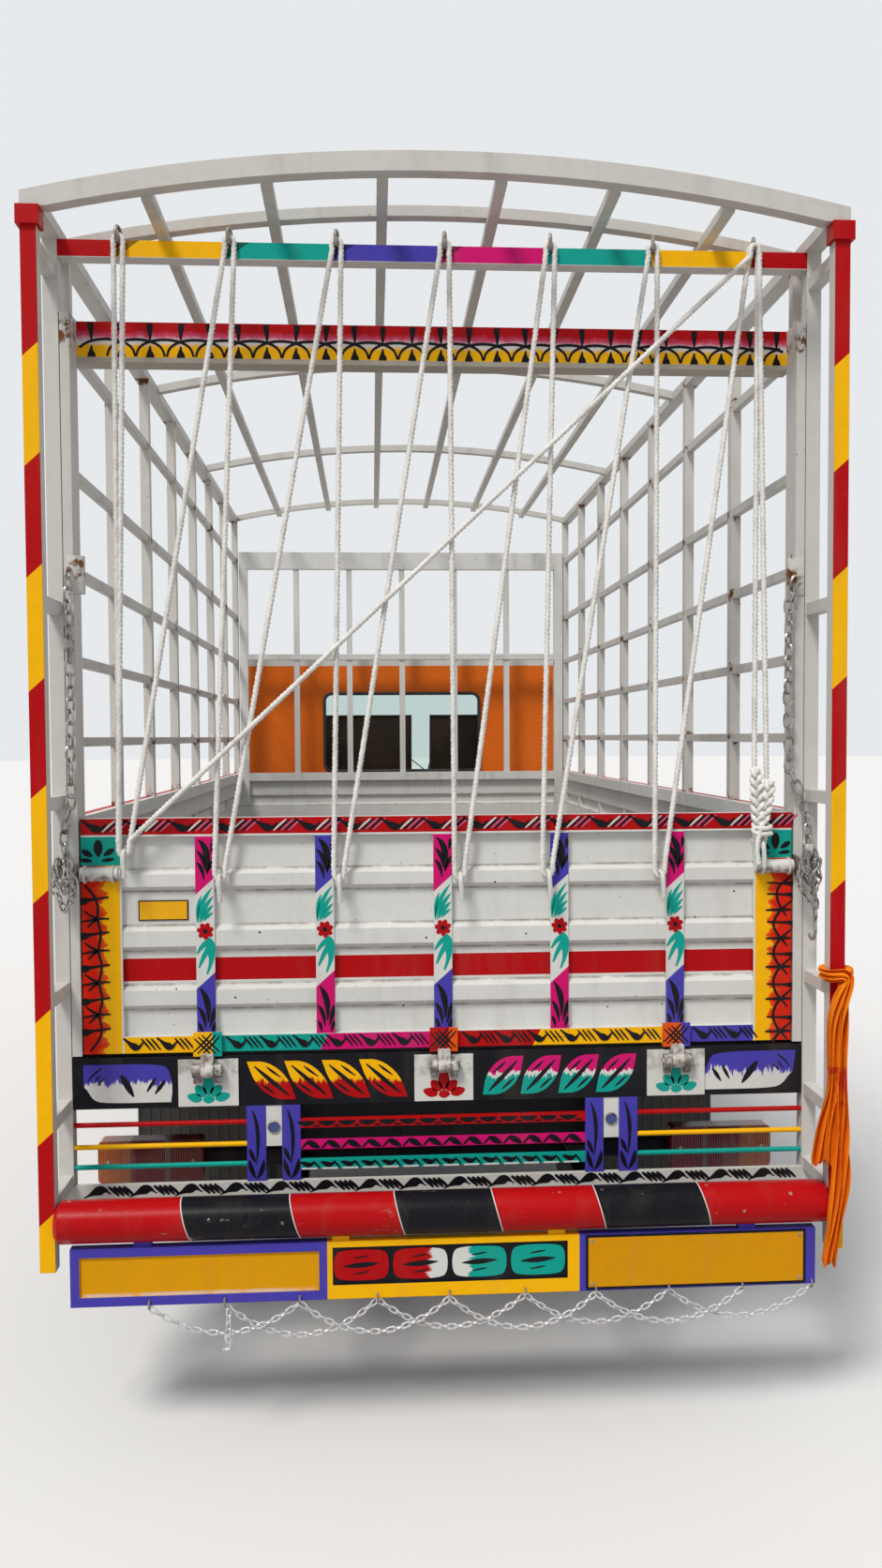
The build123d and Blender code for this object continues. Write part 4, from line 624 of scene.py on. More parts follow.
# Lintel: a steel board over the load, painted by hand: red that fades to white under
# black drops, then yellow with crossing arcs and a bud in each.
class Brushwork:
    """Strokes of enamel on a flat face that looks rearward, each a raised skin. A stroke
    that is lifted stands out over those below it by the thickness of a coat."""
    coat = 0.0002

    def __init__(self, face_y, skin=0.0012, sunk=0.0006):
        self.bm = bmesh.new()
        self.face_y, self.skin, self.sunk = face_y, skin, sunk
        self.paints = []

    def lay(self, verts, paint, lift):
        if paint not in self.paints:
            self.paints.append(paint)
        for face in {face for vert in verts for face in vert.link_faces}:
            face.material_index = self.paints.index(paint)
        for vert in verts:
            vert.co.y = self.face_y + self.sunk - lift * self.coat

    def strokes(self, x, rows, paint, peak, tip=0.1):
        """Pulls of a round brush, each a row in millimetres: across and up at its start,
        bend and end, and how fat it swells at its peak."""
        for *places, fat in rows:
            verts = bmesh.ops.create_grid(self.bm, x_segments=7, y_segments=1, size=0.5)["verts"]
            start, bend, end = (Vector((x + places[n] / 1000, places[n + 1] / 1000))
                                for n in (0, 2, 4))
            for vert in verts:
                t, side = vert.co.x + 0.5, vert.co.y
                place = start * (1 - t) ** 2 + bend * 2 * t * (1 - t) + end * t ** 2
                way = ((bend - start) * (1 - t) + (end - bend) * t).normalized()
                swell = t / peak if t < peak else (1 - t) / (1 - peak)
                width = fat / 1000 * max(tip, sin(pi / 2 * swell) ** 0.8 if swell > 0 else 0)
                vert.co = (place.x - way.y * side * width, 0, place.y + way.x * side * width)
            self.lay(verts, paint, 0)

    def pull(self, marks, paint, lift):
        """One pull of the brush through marks, each X, Z and its width there, made smooth."""
        line = [Vector(mark) for mark in marks]
        for _ in range(2):
            eased = [line[0]]
            for before, after in zip(line, line[1:]):
                eased += [before.lerp(after, 0.25), before.lerp(after, 0.75)]
            line = eased + [line[-1]]
        last = len(line) - 1
        verts = bmesh.ops.create_grid(self.bm, x_segments=last, y_segments=1, size=0.5)["verts"]
        for vert in verts:
            place, side = round((vert.co.x + 0.5) * last), vert.co.y
            x, z, width = line[place]
            way = (line[min(place + 1, last)] - line[max(place - 1, 0)]).xy.normalized()
            vert.co = (x - way.y * side * width, 0, z + way.x * side * width)
        self.lay(verts, paint, lift)

    def pulls(self, rows, x=0.0, z=0.0, paint="black", lift=0, side=1):
        """Pulls of the brush, each a row in millimetres from x and z: across, up and width
        at each of its marks. They are mirrored where side is -1."""
        for row in rows:
            self.pull([(x + side * row[n] / 1000, z + row[n + 1] / 1000, row[n + 2] / 1000)
                       for n in range(0, len(row), 3)], paint, lift)

    def lotus(self, x, z, petals, outline, paint):
        """Petals, each across and up from the lotus's foot, its length, width and lean,
        drawn by an outline of shares along the half length and of the width."""
        for across, rise, long, wide, lean in petals:
            middle = Vector((x + across / 1000, z + rise / 1000))
            way = Vector((sin(lean), cos(lean))) * long / 2000
            self.pull([(*(middle + way * share), wide * fat / 1000) for share, fat in outline],
                      paint, lift=1)

    def disc(self, x, z, wide, high, paint, lift, lean=0.0, sides=12):
        matrix = (Matrix.Translation((x, 0, z)) @ Matrix.Rotation(-lean, 4, "Y")
                  @ Matrix.Diagonal((wide / 2, 1, high / 2, 1)) @ Matrix.Rotation(pi / 2, 4, "X"))
        verts = bmesh.ops.create_circle(self.bm, cap_ends=True, segments=sides, radius=1,
                                        matrix=matrix)["verts"]
        self.lay(verts, paint, lift)

    def patch(self, corners, paint, lift=0):
        verts = [self.bm.verts.new((x, 0, z)) for x, z in corners]
        bmesh.ops.contextual_create(self.bm, geom=verts)
        self.lay(verts, paint, lift)

    def fix(self, name, slot, body="root"):
        """Gives the strokes their thickness and fixes them to what they are painted on."""
        skins = bmesh.ops.extrude_face_region(self.bm, geom=self.bm.faces[:],
                                              use_keep_orig=True)["geom"]
        bmesh.ops.translate(self.bm, vec=(0, -self.skin, 0),
                            verts=[v for v in skins if isinstance(v, bmesh.types.BMVert)])
        keep_mesh(name, self.bm, *(brushed(paint) for paint in self.paints), body=body, slot=slot)


brushed_enamels = {}


def brushed(paint):
    """The finish of one enamel colour, made when it is first used."""
    if paint not in brushed_enamels:
        brushed_enamels[paint] = coat_paint(Finish(f"enamel_{paint}"), paint, dirt=0.35,
                                            rust=0.15, edge=0)
    return brushed_enamels[paint]


lintel_paint = Finish("lintel_paint")
from_top = lintel_paint.z + (lintel_paint.noise(60.0, 3.0, 0.6, (1, 1, 0.5)) * 0.020 - 0.010)
clothe(coat_paint(lintel_paint, lintel_paint.layers(
    "white", (from_top.rise(2.604, 2.618), (0.62, 0.09, 0.20)),
    (from_top.rise(2.612, 2.630), "red"), (from_top.rise(2.601, 2.592), "yellow"),
    (lintel_paint.z < 2.5665, (0.42, 0.385, 0.32))),
    dirt=0.3, rust=0.2), "lintel")
lintel_art = Brushwork(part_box("lintel")[0].y)
arc_pitch = 0.0700
lintel_hand = random.Random(4)
for number in range(-12, 13):
    x = number * arc_pitch + 0.006 + 0.004 * (lintel_hand.random() - 0.5)
    tilt = 6 * (lintel_hand.random() - 0.5)
    if abs(x) < 0.860:
        lintel_art.pulls((
            (tilt, 2647.5, 15, tilt * 0.6, 2636, 14, 0, 2622, 9, 0, 2608, 4),
            (0, 2566.5, 20, 0, 2574, 18, -1, 2582, 9, 0, 2586, 7, 0, 2594, 3)), x)
    arch = [(x + arc_pitch * (0.5 + 0.98 * cos(angle)), 2.569 + 0.0405 * sin(angle) ** 0.8,
             0.0052 + 0.0012 * sin(angle)) for angle in (pi * step / 8 for step in range(9))]
    arch = [mark for mark in arch if abs(mark[0]) < 0.866]
    if len(arch) > 3:
        lintel_art.pull(arch, "black", lift=1 + number % 2)
lintel_art.fix("lintel_flowers", "lintel_paint")

# Crossbar: square tube between the front posts, painted in eight bands by hand, with
# seven forged eyes welded to its top for the ropes.
bar_paint = Finish("crossbar_paint")
bar_rise = bar_paint.z - 2.795
bar_coats = []
for bound, name, lean in (  # left bound, colour, lean of the bound
        (-0.752, "yellow", 1.4), (-0.496, "teal", 1.4), (-0.248, "violet", 1.4),
        (0.010, "magenta", 1.4), (0.260, "teal", 0.1), (0.512, "yellow", -0.1),
        (0.759, "red", 0.2)):
    if lean > 1:  # a wedge of the next colour, darkened as painted shade from the rope, beside the eye
        bar_coats.append((bar_paint.x - bar_rise * 0.4 > bound - 0.004,
                          [part * 0.30 for part in enamel[name]]))
        bound += 0.020
    bar_coats.append((bar_paint.x - bar_rise * lean > bound, name))
bar_coats.append((bar_paint.z < 2.7765, "white"))
clothe(coat_paint(bar_paint, bar_paint.layers("red", *bar_coats), dirt=0.4, rust=0.3), "crossbar")
ring_xs = (-0.752, -0.494, -0.243, 0.013, 0.266, 0.514, 0.759)
eye_z = 2.8265
eye_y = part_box("crossbar")[0].y - 0.006


def bar_ring(bm, middle, across, upward, count, bar_radius, sides=8):
    """A ring of round bar, from its middle and the two half axes of its oval."""
    angles = [2 * pi * step / count for step in range(count)]
    tube_along(bm, [Vector(middle) + Vector(across) * cos(angle) + Vector(upward) * sin(angle)
                    for angle in angles], bar_radius, sides, closed=True)


eyes = bmesh.new()
for ring_x in ring_xs:
    bar_ring(eyes, (ring_x, eye_y, eye_z), (0.003, 0.0145, 0), (0, 0, 0.0165), 20, 0.0042)
    disc_along(eyes, (ring_x, eye_y + 0.006, eye_z - 0.020), (0, 0, 1), 0.009, 0.008, 12)
forged = Finish("forged_steel")
forged_tone = forged.noise(60.0, 4.0, 0.6)
forged_steel = forged.surface(
    forged.layers((0.36, 0.35, 0.33), (forged_tone.rise(0.4, 0.7), (0.17, 0.115, 0.08))),
    forged_tone * 0.3 + 0.35, 0.6, height=forged_tone, height_size=0.0004)
keep_mesh("rope_eyes", eyes, forged_steel, slot="crossbar_paint", smooth=45)

# Tailgate: ribbed sheet in a frame, brushed white and decorated by a painter's hand with
# flowers, leaves and flames. Each strap, rail and column has its own run of motifs.
gate = Finish("tailgate_paint")
gate_z = gate.z
gate_face_y = -2.595
strap_face_y = gate_face_y - 0.001
off_middle = abs(gate.x)
top_rail = ((gate_z > 1.4135, "white"), (gate_z > 1.4180, "red"))
ribbed = gate.layers(rib_lines_and_specks(gate, gate.layers("white", (gate_z.between(*red_line), "red"))),
                     *top_rail)
low_rail = gate.layers("yellow", *(
    (gate.x - (gate_z - 0.91) * 0.5 > bound, name) for bound, name in (
        (-0.595, "teal"), (-0.290, "magenta"), (-0.010, "red"), (0.230, "yellow"),
        (0.575, "violet"))))
lobes = (gate_z - 1.252).ridges(0.0395) * 0.026
flicker = gate.noise(70.0, 2.0, 0.5, (0.5, 1, 1.4)) * 0.024 - 0.012
from_seam = off_middle - lobes + flicker
barrel = gate.noise(70.0, 4.0, 0.7).rise(0.40, 0.60) * gate_z.rise(1.332, 1.318)
column = gate.layers(
    "yellow", (from_seam.rise(0.803, 0.807), "orange"),
    ((from_seam + flicker).rise(0.808, 0.824), (0.64, 0.014, 0.002)),
    (off_middle < 0.7745, "white"),
    ((gate_z > 1.3445) * (off_middle > 0.7725), "teal"), *top_rail,
    ((gate.y < gate_face_y - 0.0015) * (gate_z > 1.2),
     gate.layers("white", (barrel, (0.19, 0.13, 0.09)))))
gate_coats = [(gate_z < 0.9295, low_rail), (off_middle > 0.770, column)]
strap_table = (  # middle, upper enamel, lower enamel
    (-0.573, "magenta", "violet"), (-0.286, "violet", "magenta"), (0.0, "magenta", "violet"),
    (0.286, "violet", "magenta"), (0.573, "magenta", "violet"))
for strap_x, top_name, low_name in strap_table:
    leaning = gate_z - (gate.x - strap_x) * 0.9
    here = (abs(gate.x - strap_x) < 0.0235) * gate_z.between(0.9303, 1.4125)
    gate_coats.append((here * (gate.y < gate_face_y - 0.0002), gate.layers(
        "white", (leaning > 1.292, top_name), (leaning < 1.064, low_name))))
hinge_blocks = ((-0.570, "yellow", "teal"), (0.0, "red", "orange"), (0.575, "orange", "violet"))
for block_x, name, far_name in hinge_blocks:
    here = (abs(gate.x - block_x) < 0.0355) * (gate_z < 0.9405) * (gate.y < gate_face_y - 0.004)
    gate_coats.append((here, gate.layers(name, (gate.x > block_x + 0.012, far_name))))
knuckle = (gate.y < gate_face_y - 0.0135).most(gate_z < 0.8815) * (gate_z < 0.93)
knuckle_rust = gate.noise(48.0, 4.0, 0.7).rise(0.46, 0.62) * 0.8
gate_coats += [(knuckle, gate.layers("cream", (knuckle_rust, (0.13, 0.07, 0.04)))),
               (gate.y > gate_face_y + 0.017, "white")]
clothe(coat_paint(gate, gate.layers(ribbed, *gate_coats), dirt=0.5, rust=0.3), "tailgate")


# Painted runs along the tailgate's two rails, in enamel over the dry ground coat: an
# S-shaped leaf in one pull of the brush, then slanted dashes.
def border(art, start, pitch, units, low, high, dashes, turned=False, lean=-0.30, fat=0.46,
           dash_fat=0.14):
    """A run of units, each a line that swells into a leaf and rises in a thin tail, then
    dashes. Turned, the leaf lies in the upper half and its ends hang down."""
    deep = high - low
    leaf = ((0.00, 0.95, 0.10), (0.10, 0.78, 0.14), (0.20, 0.58, fat * 0.55), (0.30, 0.42, fat),
            (0.39, 0.34, fat), (0.47, 0.36, fat * 0.5), (0.53, 0.50, 0.13), (0.58, 0.68, 0.10),
            (0.61, 0.62, 0.05))
    for x in (start + pitch * number for number in range(units)):
        art.pull([(x + u * pitch, low + deep * (1 - v if turned else v), width * deep)
                  for u, v, width in leaf], "black", lift=1)
        for number, paint in enumerate(dashes):
            dash_x = x + pitch * (0.60 + 0.44 * (number + 0.5) / len(dashes))
            art.pull([(dash_x + deep * lean * slant, low + deep * v, deep * dash_fat * width)
                      for slant, v, width in ((1, 0.90, 0.6), (0, 0.55, 1), (-1, 0.16, 0.5))],
                     paint, lift=number % 2)


rail_art = Brushwork(strap_face_y, skin=0.0022, sunk=0.0016)
border(rail_art, -0.864, 1.728 / 17, 17, 1.4195, 1.4555,
       ("white", "black", "pink", "black", "pink"), lean=0.42, fat=0.50)
for start, stop, units in ((-0.772, -0.612, 2), (-0.527, -0.045, 6), (0.045, 0.530, 6),
                           (0.618, 0.772, 2)):
    border(rail_art, start, (stop - start) / units, units, 0.892, 0.929, ("black",) * 3)
rail_art.fix("tailgate_borders", "tailgate_paint", "tailgate")

# Painted straps: on each strap that is folded over the ribs, black reeds at top and
# bottom, a spray of teal leaves, and a red flower between them.
strap_art = Brushwork(strap_face_y)
for strap_x, _, _ in strap_table:
    strap_art.strokes(strap_x, (
        (-14, 1404, 14, 1384, 6, 1322, 16), (-18, 1378, 0, 1364, 2, 1330, 11),
        (-19, 1350, -4, 1340, -2, 1308, 10), (17, 1402, 21, 1388, 15, 1374, 9),
        (20, 1360, 16, 1345, 6, 1326, 9), (-14, 1046, 10, 1016, 4, 962, 15),
        (-20, 1000, -4, 985, -2, 948, 11), (-19, 962, -12, 952, -10, 934, 9),
        (19, 1000, 18, 978, 8, 950, 11), (20, 962, 18, 950, 12, 934, 9)), "black", 0.45, 0.22)
    strap_art.strokes(strap_x, (
        (-19, 1206, -20, 1246, -8, 1270, 8), (-18, 1204, -14, 1252, 18, 1290, 10),
        (-14, 1204, -4, 1244, 20, 1268, 10), (-10, 1206, 2, 1232, 20, 1247, 9),
        (-4, 1208, 6, 1222, 19, 1229, 7.5)), "teal", 0.55)
    for petal in range(7):
        angle = 2 * pi * petal / 7 + 0.3
        strap_art.disc(strap_x + 0.0125 * cos(angle), 1.184 + 0.0130 * sin(angle), 0.0160, 0.0125,
                       "red", lean=angle, lift=1 + petal % 2, sides=10)
    strap_art.disc(strap_x, 1.184, 0.0110, 0.0110, "black", lift=4)
    strap_art.pulls(((4, 1168, 8, 12, 1154, 22, 14, 1134, 20, 14, 1110, 10, 3, 1080, 4),),
                    strap_x, paint="teal")
    strap_art.pulls(((6, 1158, 14, -8, 1148, 11, -20, 1130, 4),
                     (8, 1144, 13, -4, 1124, 11, -16, 1096, 4)), strap_x, paint="teal", lift=1)
strap_art.fix("tailgate_leaves", "tailgate_paint", "tailgate")

# Painted columns and corner blocks: a barbed line with forks over the left flames, a chain
# of arcs over the right ones, and a lotus of black petals in each corner. The hinge blocks
# below are scratched with crossed lines.
column_art = Brushwork(gate_face_y)
left_line = ((856, 1298), (838, 1276), (828, 1255), (826.5, 1236), (829, 1216.6), (819, 1178),
             (829, 1140), (817.5, 1101), (829, 1063.4), (817.5, 1021), (830, 985.5), (820, 946),
             (833, 918), (850, 898))
column_art.pull([(-x / 1000, z / 1000, 0.0055) for x, z in left_line], "black", lift=2)
for z in (1.263, 1.179, 1.100, 1.020, 0.946):
    column_art.pulls(((868, -4, 10, 862, -3, 19, 856, -2, 16, 848, 0, 7, 826, 3, 5.5,
                       801, 6, 4.5),), z=z, lift=3, side=-1)
for z in (1.2166, 1.140, 1.0634, 0.9855):
    column_art.pulls(((860, 20, 3.5, 844.5, 8, 5.5, 826, 0, 6.5),
                      (866, -6, 3.5, 847.5, -2.4, 5.5, 826, 0, 6.5),
                      (852, -20, 3.5, 840.5, -8, 5.5, 826, 0, 6.5)), z=z, lift=3, side=-1)
    column_art.pulls(((829, 0, 6.5, 815, 1, 5, 801, 1, 4),), z=z, lift=4, side=-1)
crossings = (1.2153, 1.1447, 1.0737, 0.9936, 0.9122, 0.86)
column_art.pulls(((864, 1299, 4, 846, 1284, 6, 831, 1272, 6, 827, 1252, 6, 834, 1228, 6,
                   852, 1200, 4),), lift=2)
for number, (high, low) in enumerate(zip(crossings, crossings[1:])):
    arc = ((0.865, high + 0.022, 0.0035), (0.843, high + 0.004, 0.006),
           (0.827, high - 0.014, 0.006), (0.8185, (high + low) / 2, 0.006),
           (0.827, low + 0.014, 0.006), (0.843, low - 0.004, 0.006), (0.856, low - 0.020, 0.0035))
    column_art.pull([mark for mark in arc if mark[1] > 0.886], "black", lift=2 + number % 2)
    column_art.pulls(((865, 0, 4, 843, 1, 8.5, 822, 0, 6, 801, 0, 4),), z=high, lift=4)
for z in (1.281, 1.2535, 1.184, 1.105, 1.029, 0.947):
    column_art.pulls(((867, -2, 12, 858, 0, 9, 848, 0, 5, 804, 2, 4),), z=z, lift=4)
for side in (-1, 1):
    column_art.lotus(side * 0.824, 1.3485, (
        (0, 38, 40, 21, 0.0), (-26, 26, 28, 14, -1.05), (25, 28, 28, 13, 1.0),
        (-28, 9, 27, 10, -1.45), (22, 10, 30, 9, 1.45)),
        ((-1, 0.25), (-0.75, 0.55), (-0.2, 1.0), (0.4, 1.0), (0.85, 0.6), (1, 0.25)), "black")
block_art = Brushwork(gate_face_y - 0.012)
for block_x, _, _ in hinge_blocks:
    for step in (-1, 0, 1):
        block_art.pulls(((-24, 890, 3, 0, 912, 5.2, 20, 935, 3),), block_x + step * 0.009,
                        -step * 0.004)
        block_art.pulls(((20, 889, 3, 0, 908, 5.2, -22, 930, 3),), block_x + step * 0.009,
                        step * 0.004, lift=1)
block_art.fix("hinge_block_marks", "tailgate_paint", "tailgate")
column_art.fix("tailgate_barbs", "tailgate_paint", "tailgate")

# Tailgate fittings: round-bar hooks for the ropes, a sliding bolt at each upper corner with
# its keeper on the pillar, and a small painted plate left blank.
hook_table = ((-0.757, 1.362), (-0.534, 1.300), (-0.250, 1.296), (0.041, 1.297),
              (0.255, 1.301), (0.531, 1.297), (0.779, 1.368))
gate_steel = bmesh.new()
for hook_x, hook_z in hook_table:
    top_z = hook_z + 0.020
    bend = [(hook_x + across, gate_face_y - out, top_z - down) for across, out, down in (
        (0, -0.012, 0), (0, 0.036, 0), (0, 0.045, 0.005), (0, 0.048, 0.016),
        (0.002, 0.047, 0.040), (0.003, 0.044, 0.062))]
    tube_along(gate_steel, bend, 0.0058, step=0.007)
    disc_along(gate_steel, (hook_x, gate_face_y + 0.017, top_z), (0, -1, 0), 0.013, 0.008, 12)
bolt_y = gate_face_y - 0.006
bolt_z = 1.325
bolt_ends = bmesh.new()
for side in (-1, 1):
    for x in (0.788, 0.854):
        bar_ring(gate_steel, (side * x, bolt_y, bolt_z), (0, 0.0195, 0), (0, 0, 0.0190), 24,
                 0.0030, 6)
    for x, depth in ((0.8652, 0.003), (0.7748, 0.004)):
        disc_along(gate_steel, (side * x, bolt_y, bolt_z), (-side, 0, 0), 0.0125, depth, 20)
    block(bolt_ends, (side * 0.872, bolt_y - 0.010, bolt_z - 0.025),
          (side * 0.878, bolt_y + 0.016, bolt_z + 0.025), 0.001)
    disc_along(bolt_ends, (side * 0.8725, bolt_y, bolt_z), (side, 0, 0), 0.0115, 0.020, 16)
    bar_ring(bolt_ends, (side * 0.897, bolt_y - 0.006, bolt_z), (0, 0.010, 0), (0, 0, 0.010), 16,
             0.003, 6)
fitting_white = coat_paint(Finish("fitting_white"), "white", dirt=1.0, rust=0.8)
keep_mesh("tailgate_fittings", gate_steel, fitting_white, body="tailgate",
          slot="tailgate_paint", smooth=40)
keep_mesh("bolt_keepers", bolt_ends, forged_steel, slot="body_white", smooth=40)
plate_bm = bmesh.new()
plate_y = -2.5803
block(plate_bm, (-0.734, plate_y - 0.0018, 1.209), (-0.615, plate_y + 0.0012, 1.258), 0.0006)
small_plate = Finish("small_plate")
in_border = (abs(small_plate.x + 0.6745) > 0.0565).most(abs(small_plate.z - 1.2335) > 0.0215)
plate_tone = small_plate.layers((0.80, 0.40, 0.01), (in_border, (0.02, 0.018, 0.015)))
keep_mesh("small_plate", plate_bm, coat_paint(small_plate, plate_tone, dirt=0.5, rust=0.1, edge=0),
          body="tailgate", slot="tailgate_paint")

# Rear sill: a pressed beam in black, with a run of slanted leaf blocks brushed between the
# hinge plates. Each has black veins, and its two enamels meet in ragged upright strokes.
clothe(coat_paint(Finish("sill_black"), "black", dirt=0.5, rust=0.15), "rear_sill")
sill_art = Brushwork(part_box("rear_sill")[0].y)


def faded(name, upper, lower, turn, between=None, sideways=False, wander=0.05):
    """An enamel that changes to another at a height, in ragged upright strokes, or at a
    distance across, in ragged level ones."""
    finish = Finish(f"enamel_{name}")
    along, stretch = (finish.x, (0.16, 1, 1)) if sideways else (finish.z, (1, 1, 0.16))
    level = along + finish.noise(120.0, 3.0, 0.65, stretch) * wander - wander / 2
    tone = finish.layers(lower, (level.rise(turn - 0.003, turn + 0.003), upper))
    if between:
        tone = finish.layers(tone, (level.between(turn - 0.009, turn + 0.003), between))
    brushed_enamels[name] = coat_paint(finish, tone, dirt=0.3, rust=0.1, edge=0)


def eased_loop(corners):
    """The corners of an outline, each cut back twice; a corner given twice stays sharp."""
    loop = [Vector(corner) for corner in corners]
    for _ in range(2):
        loop = [before.lerp(after, share) for before, after in zip(loop, loop[1:] + loop[:1])
                for share in (0.25, 0.75)]
    return [point for number, point in enumerate(loop)
            if (point - loop[number - 1]).length > 0.0002]


def sill_block(left, wide, lean, mirrored, corners, slits, paint):
    """A slanted block from shares of its width and height, with slits, each a row of marks:
    across and up in hundredths, and width in millimetres."""
    def mark(u, v):
        return left + (1 - u if mirrored else u) * wide + (v - 0.5) * lean, 0.770 + 0.094 * v

    sill_art.patch(eased_loop([mark(*corner) for corner in corners]), paint, lift=1)
    for row in slits:
        sill_art.pull([(*mark(row[n] / 100, row[n + 1] / 100), row[n + 2] / 1000)
                       for n in range(0, len(row), 3)], "black", lift=3)


faded("violet_to_white", "violet", "white", 0.816, wander=0.085)
faded("yellow_to_red", "yellow", "red", 0.815)
faded("magenta_to_teal", "magenta", "teal", 0.822, "white")
for first, pitch, paint, lean, mirrored in ((-0.461, 0.0905, "yellow_to_red", -0.034, False),
                                            (0.104, 0.0935, "magenta_to_teal", 0.017, True)):
    for number in range(4):
        sill_block(first + pitch * number, 0.084, lean, mirrored,
                   ((0, 1), (0, 1), (0.6, 1), (1, 0.6), (1, 0), (1, 0), (0.4, 0), (0, 0.4)),
                   ((16, 88, 3, 38, 62, 10, 60, 36, 11, 84, 10, 3),
                    (50, 86, 2, 62, 74, 7, 80, 58, 2), (16, 42, 2, 32, 28, 7, 46, 14, 2)), paint)
for left, wide, lean, mirrored in ((-0.868, 0.212, 0.0, False), (0.648, 0.224, 0.012, True)):
    sill_block(left, wide, lean, mirrored,
               ((0, 1), (0, 1), (0.90, 1), (0.97, 0.78), (1, 0.40), (0.98, 0), (0.98, 0), (0.22, 0),
                (0.10, 0.10), (0.04, 0.36), (0, 0.42)),
               ((5, 58, 2, 11, 76, 5, 20, 90, 3), (11, 52, 2, 15, 64, 5, 19, 72, 2),
                (16, 46, 2, 20, 58, 5, 24, 64, 2), (42, 72, 6, 46, 58, 15, 51, 36, 16, 56, 16, 4),
                (71, 28, 3, 76, 46, 10, 81, 64, 3), (80, 22, 3, 86, 40, 12, 92, 58, 3)),
               "violet_to_white")
sill_art.fix("sill_forms", "sill_black")

# Hinge plates: white steel plates on the sill with the ears and pins that the tailgate
# turns on, rusty round the barrels. Each has a lotus of petals.
hinges = Finish("hinge_white")
hinge_rub = hinges.noise(34.0, 5.0, 0.65).rise(0.44, 0.62) * hinges.z.rise(0.815, 0.838)
ear_rust = hinges.noise(55.0, 4.0, 0.65).rise(0.34, 0.54) * 0.85
hinge_tone = hinges.layers("white", (hinge_rub * 0.5, (0.13, 0.095, 0.07)), (
    hinges.y < -2.6025, hinges.layers("cream", (ear_rust, (0.09, 0.06, 0.04)))))
clothe(coat_paint(hinges, hinge_tone, dirt=0.9, rust=0.9), "hinge_plates")
lotus_art = Brushwork(-2.601)
for plate_x, paint in ((-0.570, "teal"), (0.0, "red"), (0.575, "teal")):
    lotus_art.lotus(plate_x, 0.767, (
        (0, 45, 52, 26, 0.0), (-19, 30, 34, 24, -0.80), (19, 30, 34, 24, 0.80),
        (-33, 14, 36, 21, -1.30), (34, 15, 36, 21, 1.30), (1, 9, 28, 18, 1.55)),
        ((-1, 0.15), (-0.85, 0.6), (-0.35, 1.05), (0.2, 1.05), (0.8, 0.55), (1, 0.15)), paint)
lotus_art.fix("hinge_lotuses", "hinge_white")

# Guard: violet straps hung in pairs from the sill, with a white plate and a blue
# reflector in each pair, round bars beside them, flats between and a white flat below.
guard_plate = Finish("strap_violet")
between_straps = abs(guard_plate.x).between(0.3953, 0.4337)
clothe(coat_paint(guard_plate, guard_plate.layers("violet", (between_straps, "white")),
                  dirt=0.35, rust=0.2), "guard_straps")
bars = Finish("guard_paint")
round_bars = bars.layers("red", (bars.z < 0.69, "yellow"), (bars.z < 0.63, "teal"))
flats = bars.layers("red", (bars.z < 0.685, "magenta"), (bars.z < 0.63, "teal"))
guard_tone = bars.layers(flats, (abs(bars.x) > 0.40, round_bars), (bars.z < 0.585, "cream"))
clothe(coat_paint(bars, guard_tone, dirt=0.4, rust=0.35), "guard_bars")
guard_face_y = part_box("guard_bars")[0].y
guard_art = Brushwork(guard_face_y)
for number in range(14):
    x = -0.336 + 0.0495 * number
    guard_art.pulls(((-21, 713.5, 3, -12, 710, 10, 0, 708.5, 14, 12, 710, 10, 21, 713.5, 3),
                     (16, 703.5, 2, 25, 703, 6, 34, 703.5, 2),
                     (-13, 647, 3, -4, 656, 6.5, 5, 666.5, 4)), x)
    guard_art.pulls(((1, 665.5, 4, 10, 660.5, 16, 22, 654, 14, 33, 648.5, 3),), x, lift=1)
    guard_art.patch(((x - 0.012, 0.5955), (x + 0.026, 0.5955), (x + 0.026, 0.5995),
                     (x - 0.012, 0.5995)), "white")
    guard_art.pulls(((-16, 613.5, 2, -7, 611, 10, 4, 606, 13, 13, 608.5, 8, 20, 615.5, 2),), x,
                    lift=1)
    guard_art.pulls(((16, 615, 3, 24, 608, 5.5, 31, 599, 3),), x, lift=2)
border(guard_art, -0.872, 0.1088, 16, 0.5385, 0.5690, ("black",) * 4, turned=True, lean=-0.42,
       fat=0.74, dash_fat=0.30)
guard_art.fix("guard_marks", "guard_paint")
strap_leaves = Brushwork(guard_face_y)
for strap_x in (-0.457, -0.3725, 0.3725, 0.457):
    strap_leaves.strokes(strap_x, (
        (-10, 746, 12, 700, -1, 610, 9.5), (-17, 652, -12, 634, -2, 616, 10.5),
        (-18, 624, -14, 596, -2, 577, 11.5), (17, 624, 17, 594, -1, 575, 11.5)), "black", 0.45)
strap_leaves.fix("guard_leaves", "strap_violet")
reflector_glass = Finish("reflector_blue")
facet = ((reflector_glass.x / 0.0035) % 1 - 0.5) * ((reflector_glass.z / 0.0035) % 1 - 0.5)
blue_lens = reflector_glass.surface((0.01, 0.03, 0.22), 0.12, height=facet, height_size=0.0006,
                                    Coat_Weight=0.6)
reflectors = bmesh.new()
rims = bmesh.new()
for x in (-0.4145, 0.4145):
    disc_along(reflectors, (x, -2.5935, 0.703), (0, -1, 0), 0.0120, 0.006, 28, 0.0105)
    bar_ring(rims, (x, -2.5960, 0.703), (0.0132, 0, 0), (0, 0, 0.0132), 28, 0.0022, 6)
keep_mesh("guard_reflectors", reflectors, blue_lens, smooth=30)
keep_mesh("reflector_rims", rims, forged_steel, smooth=60)

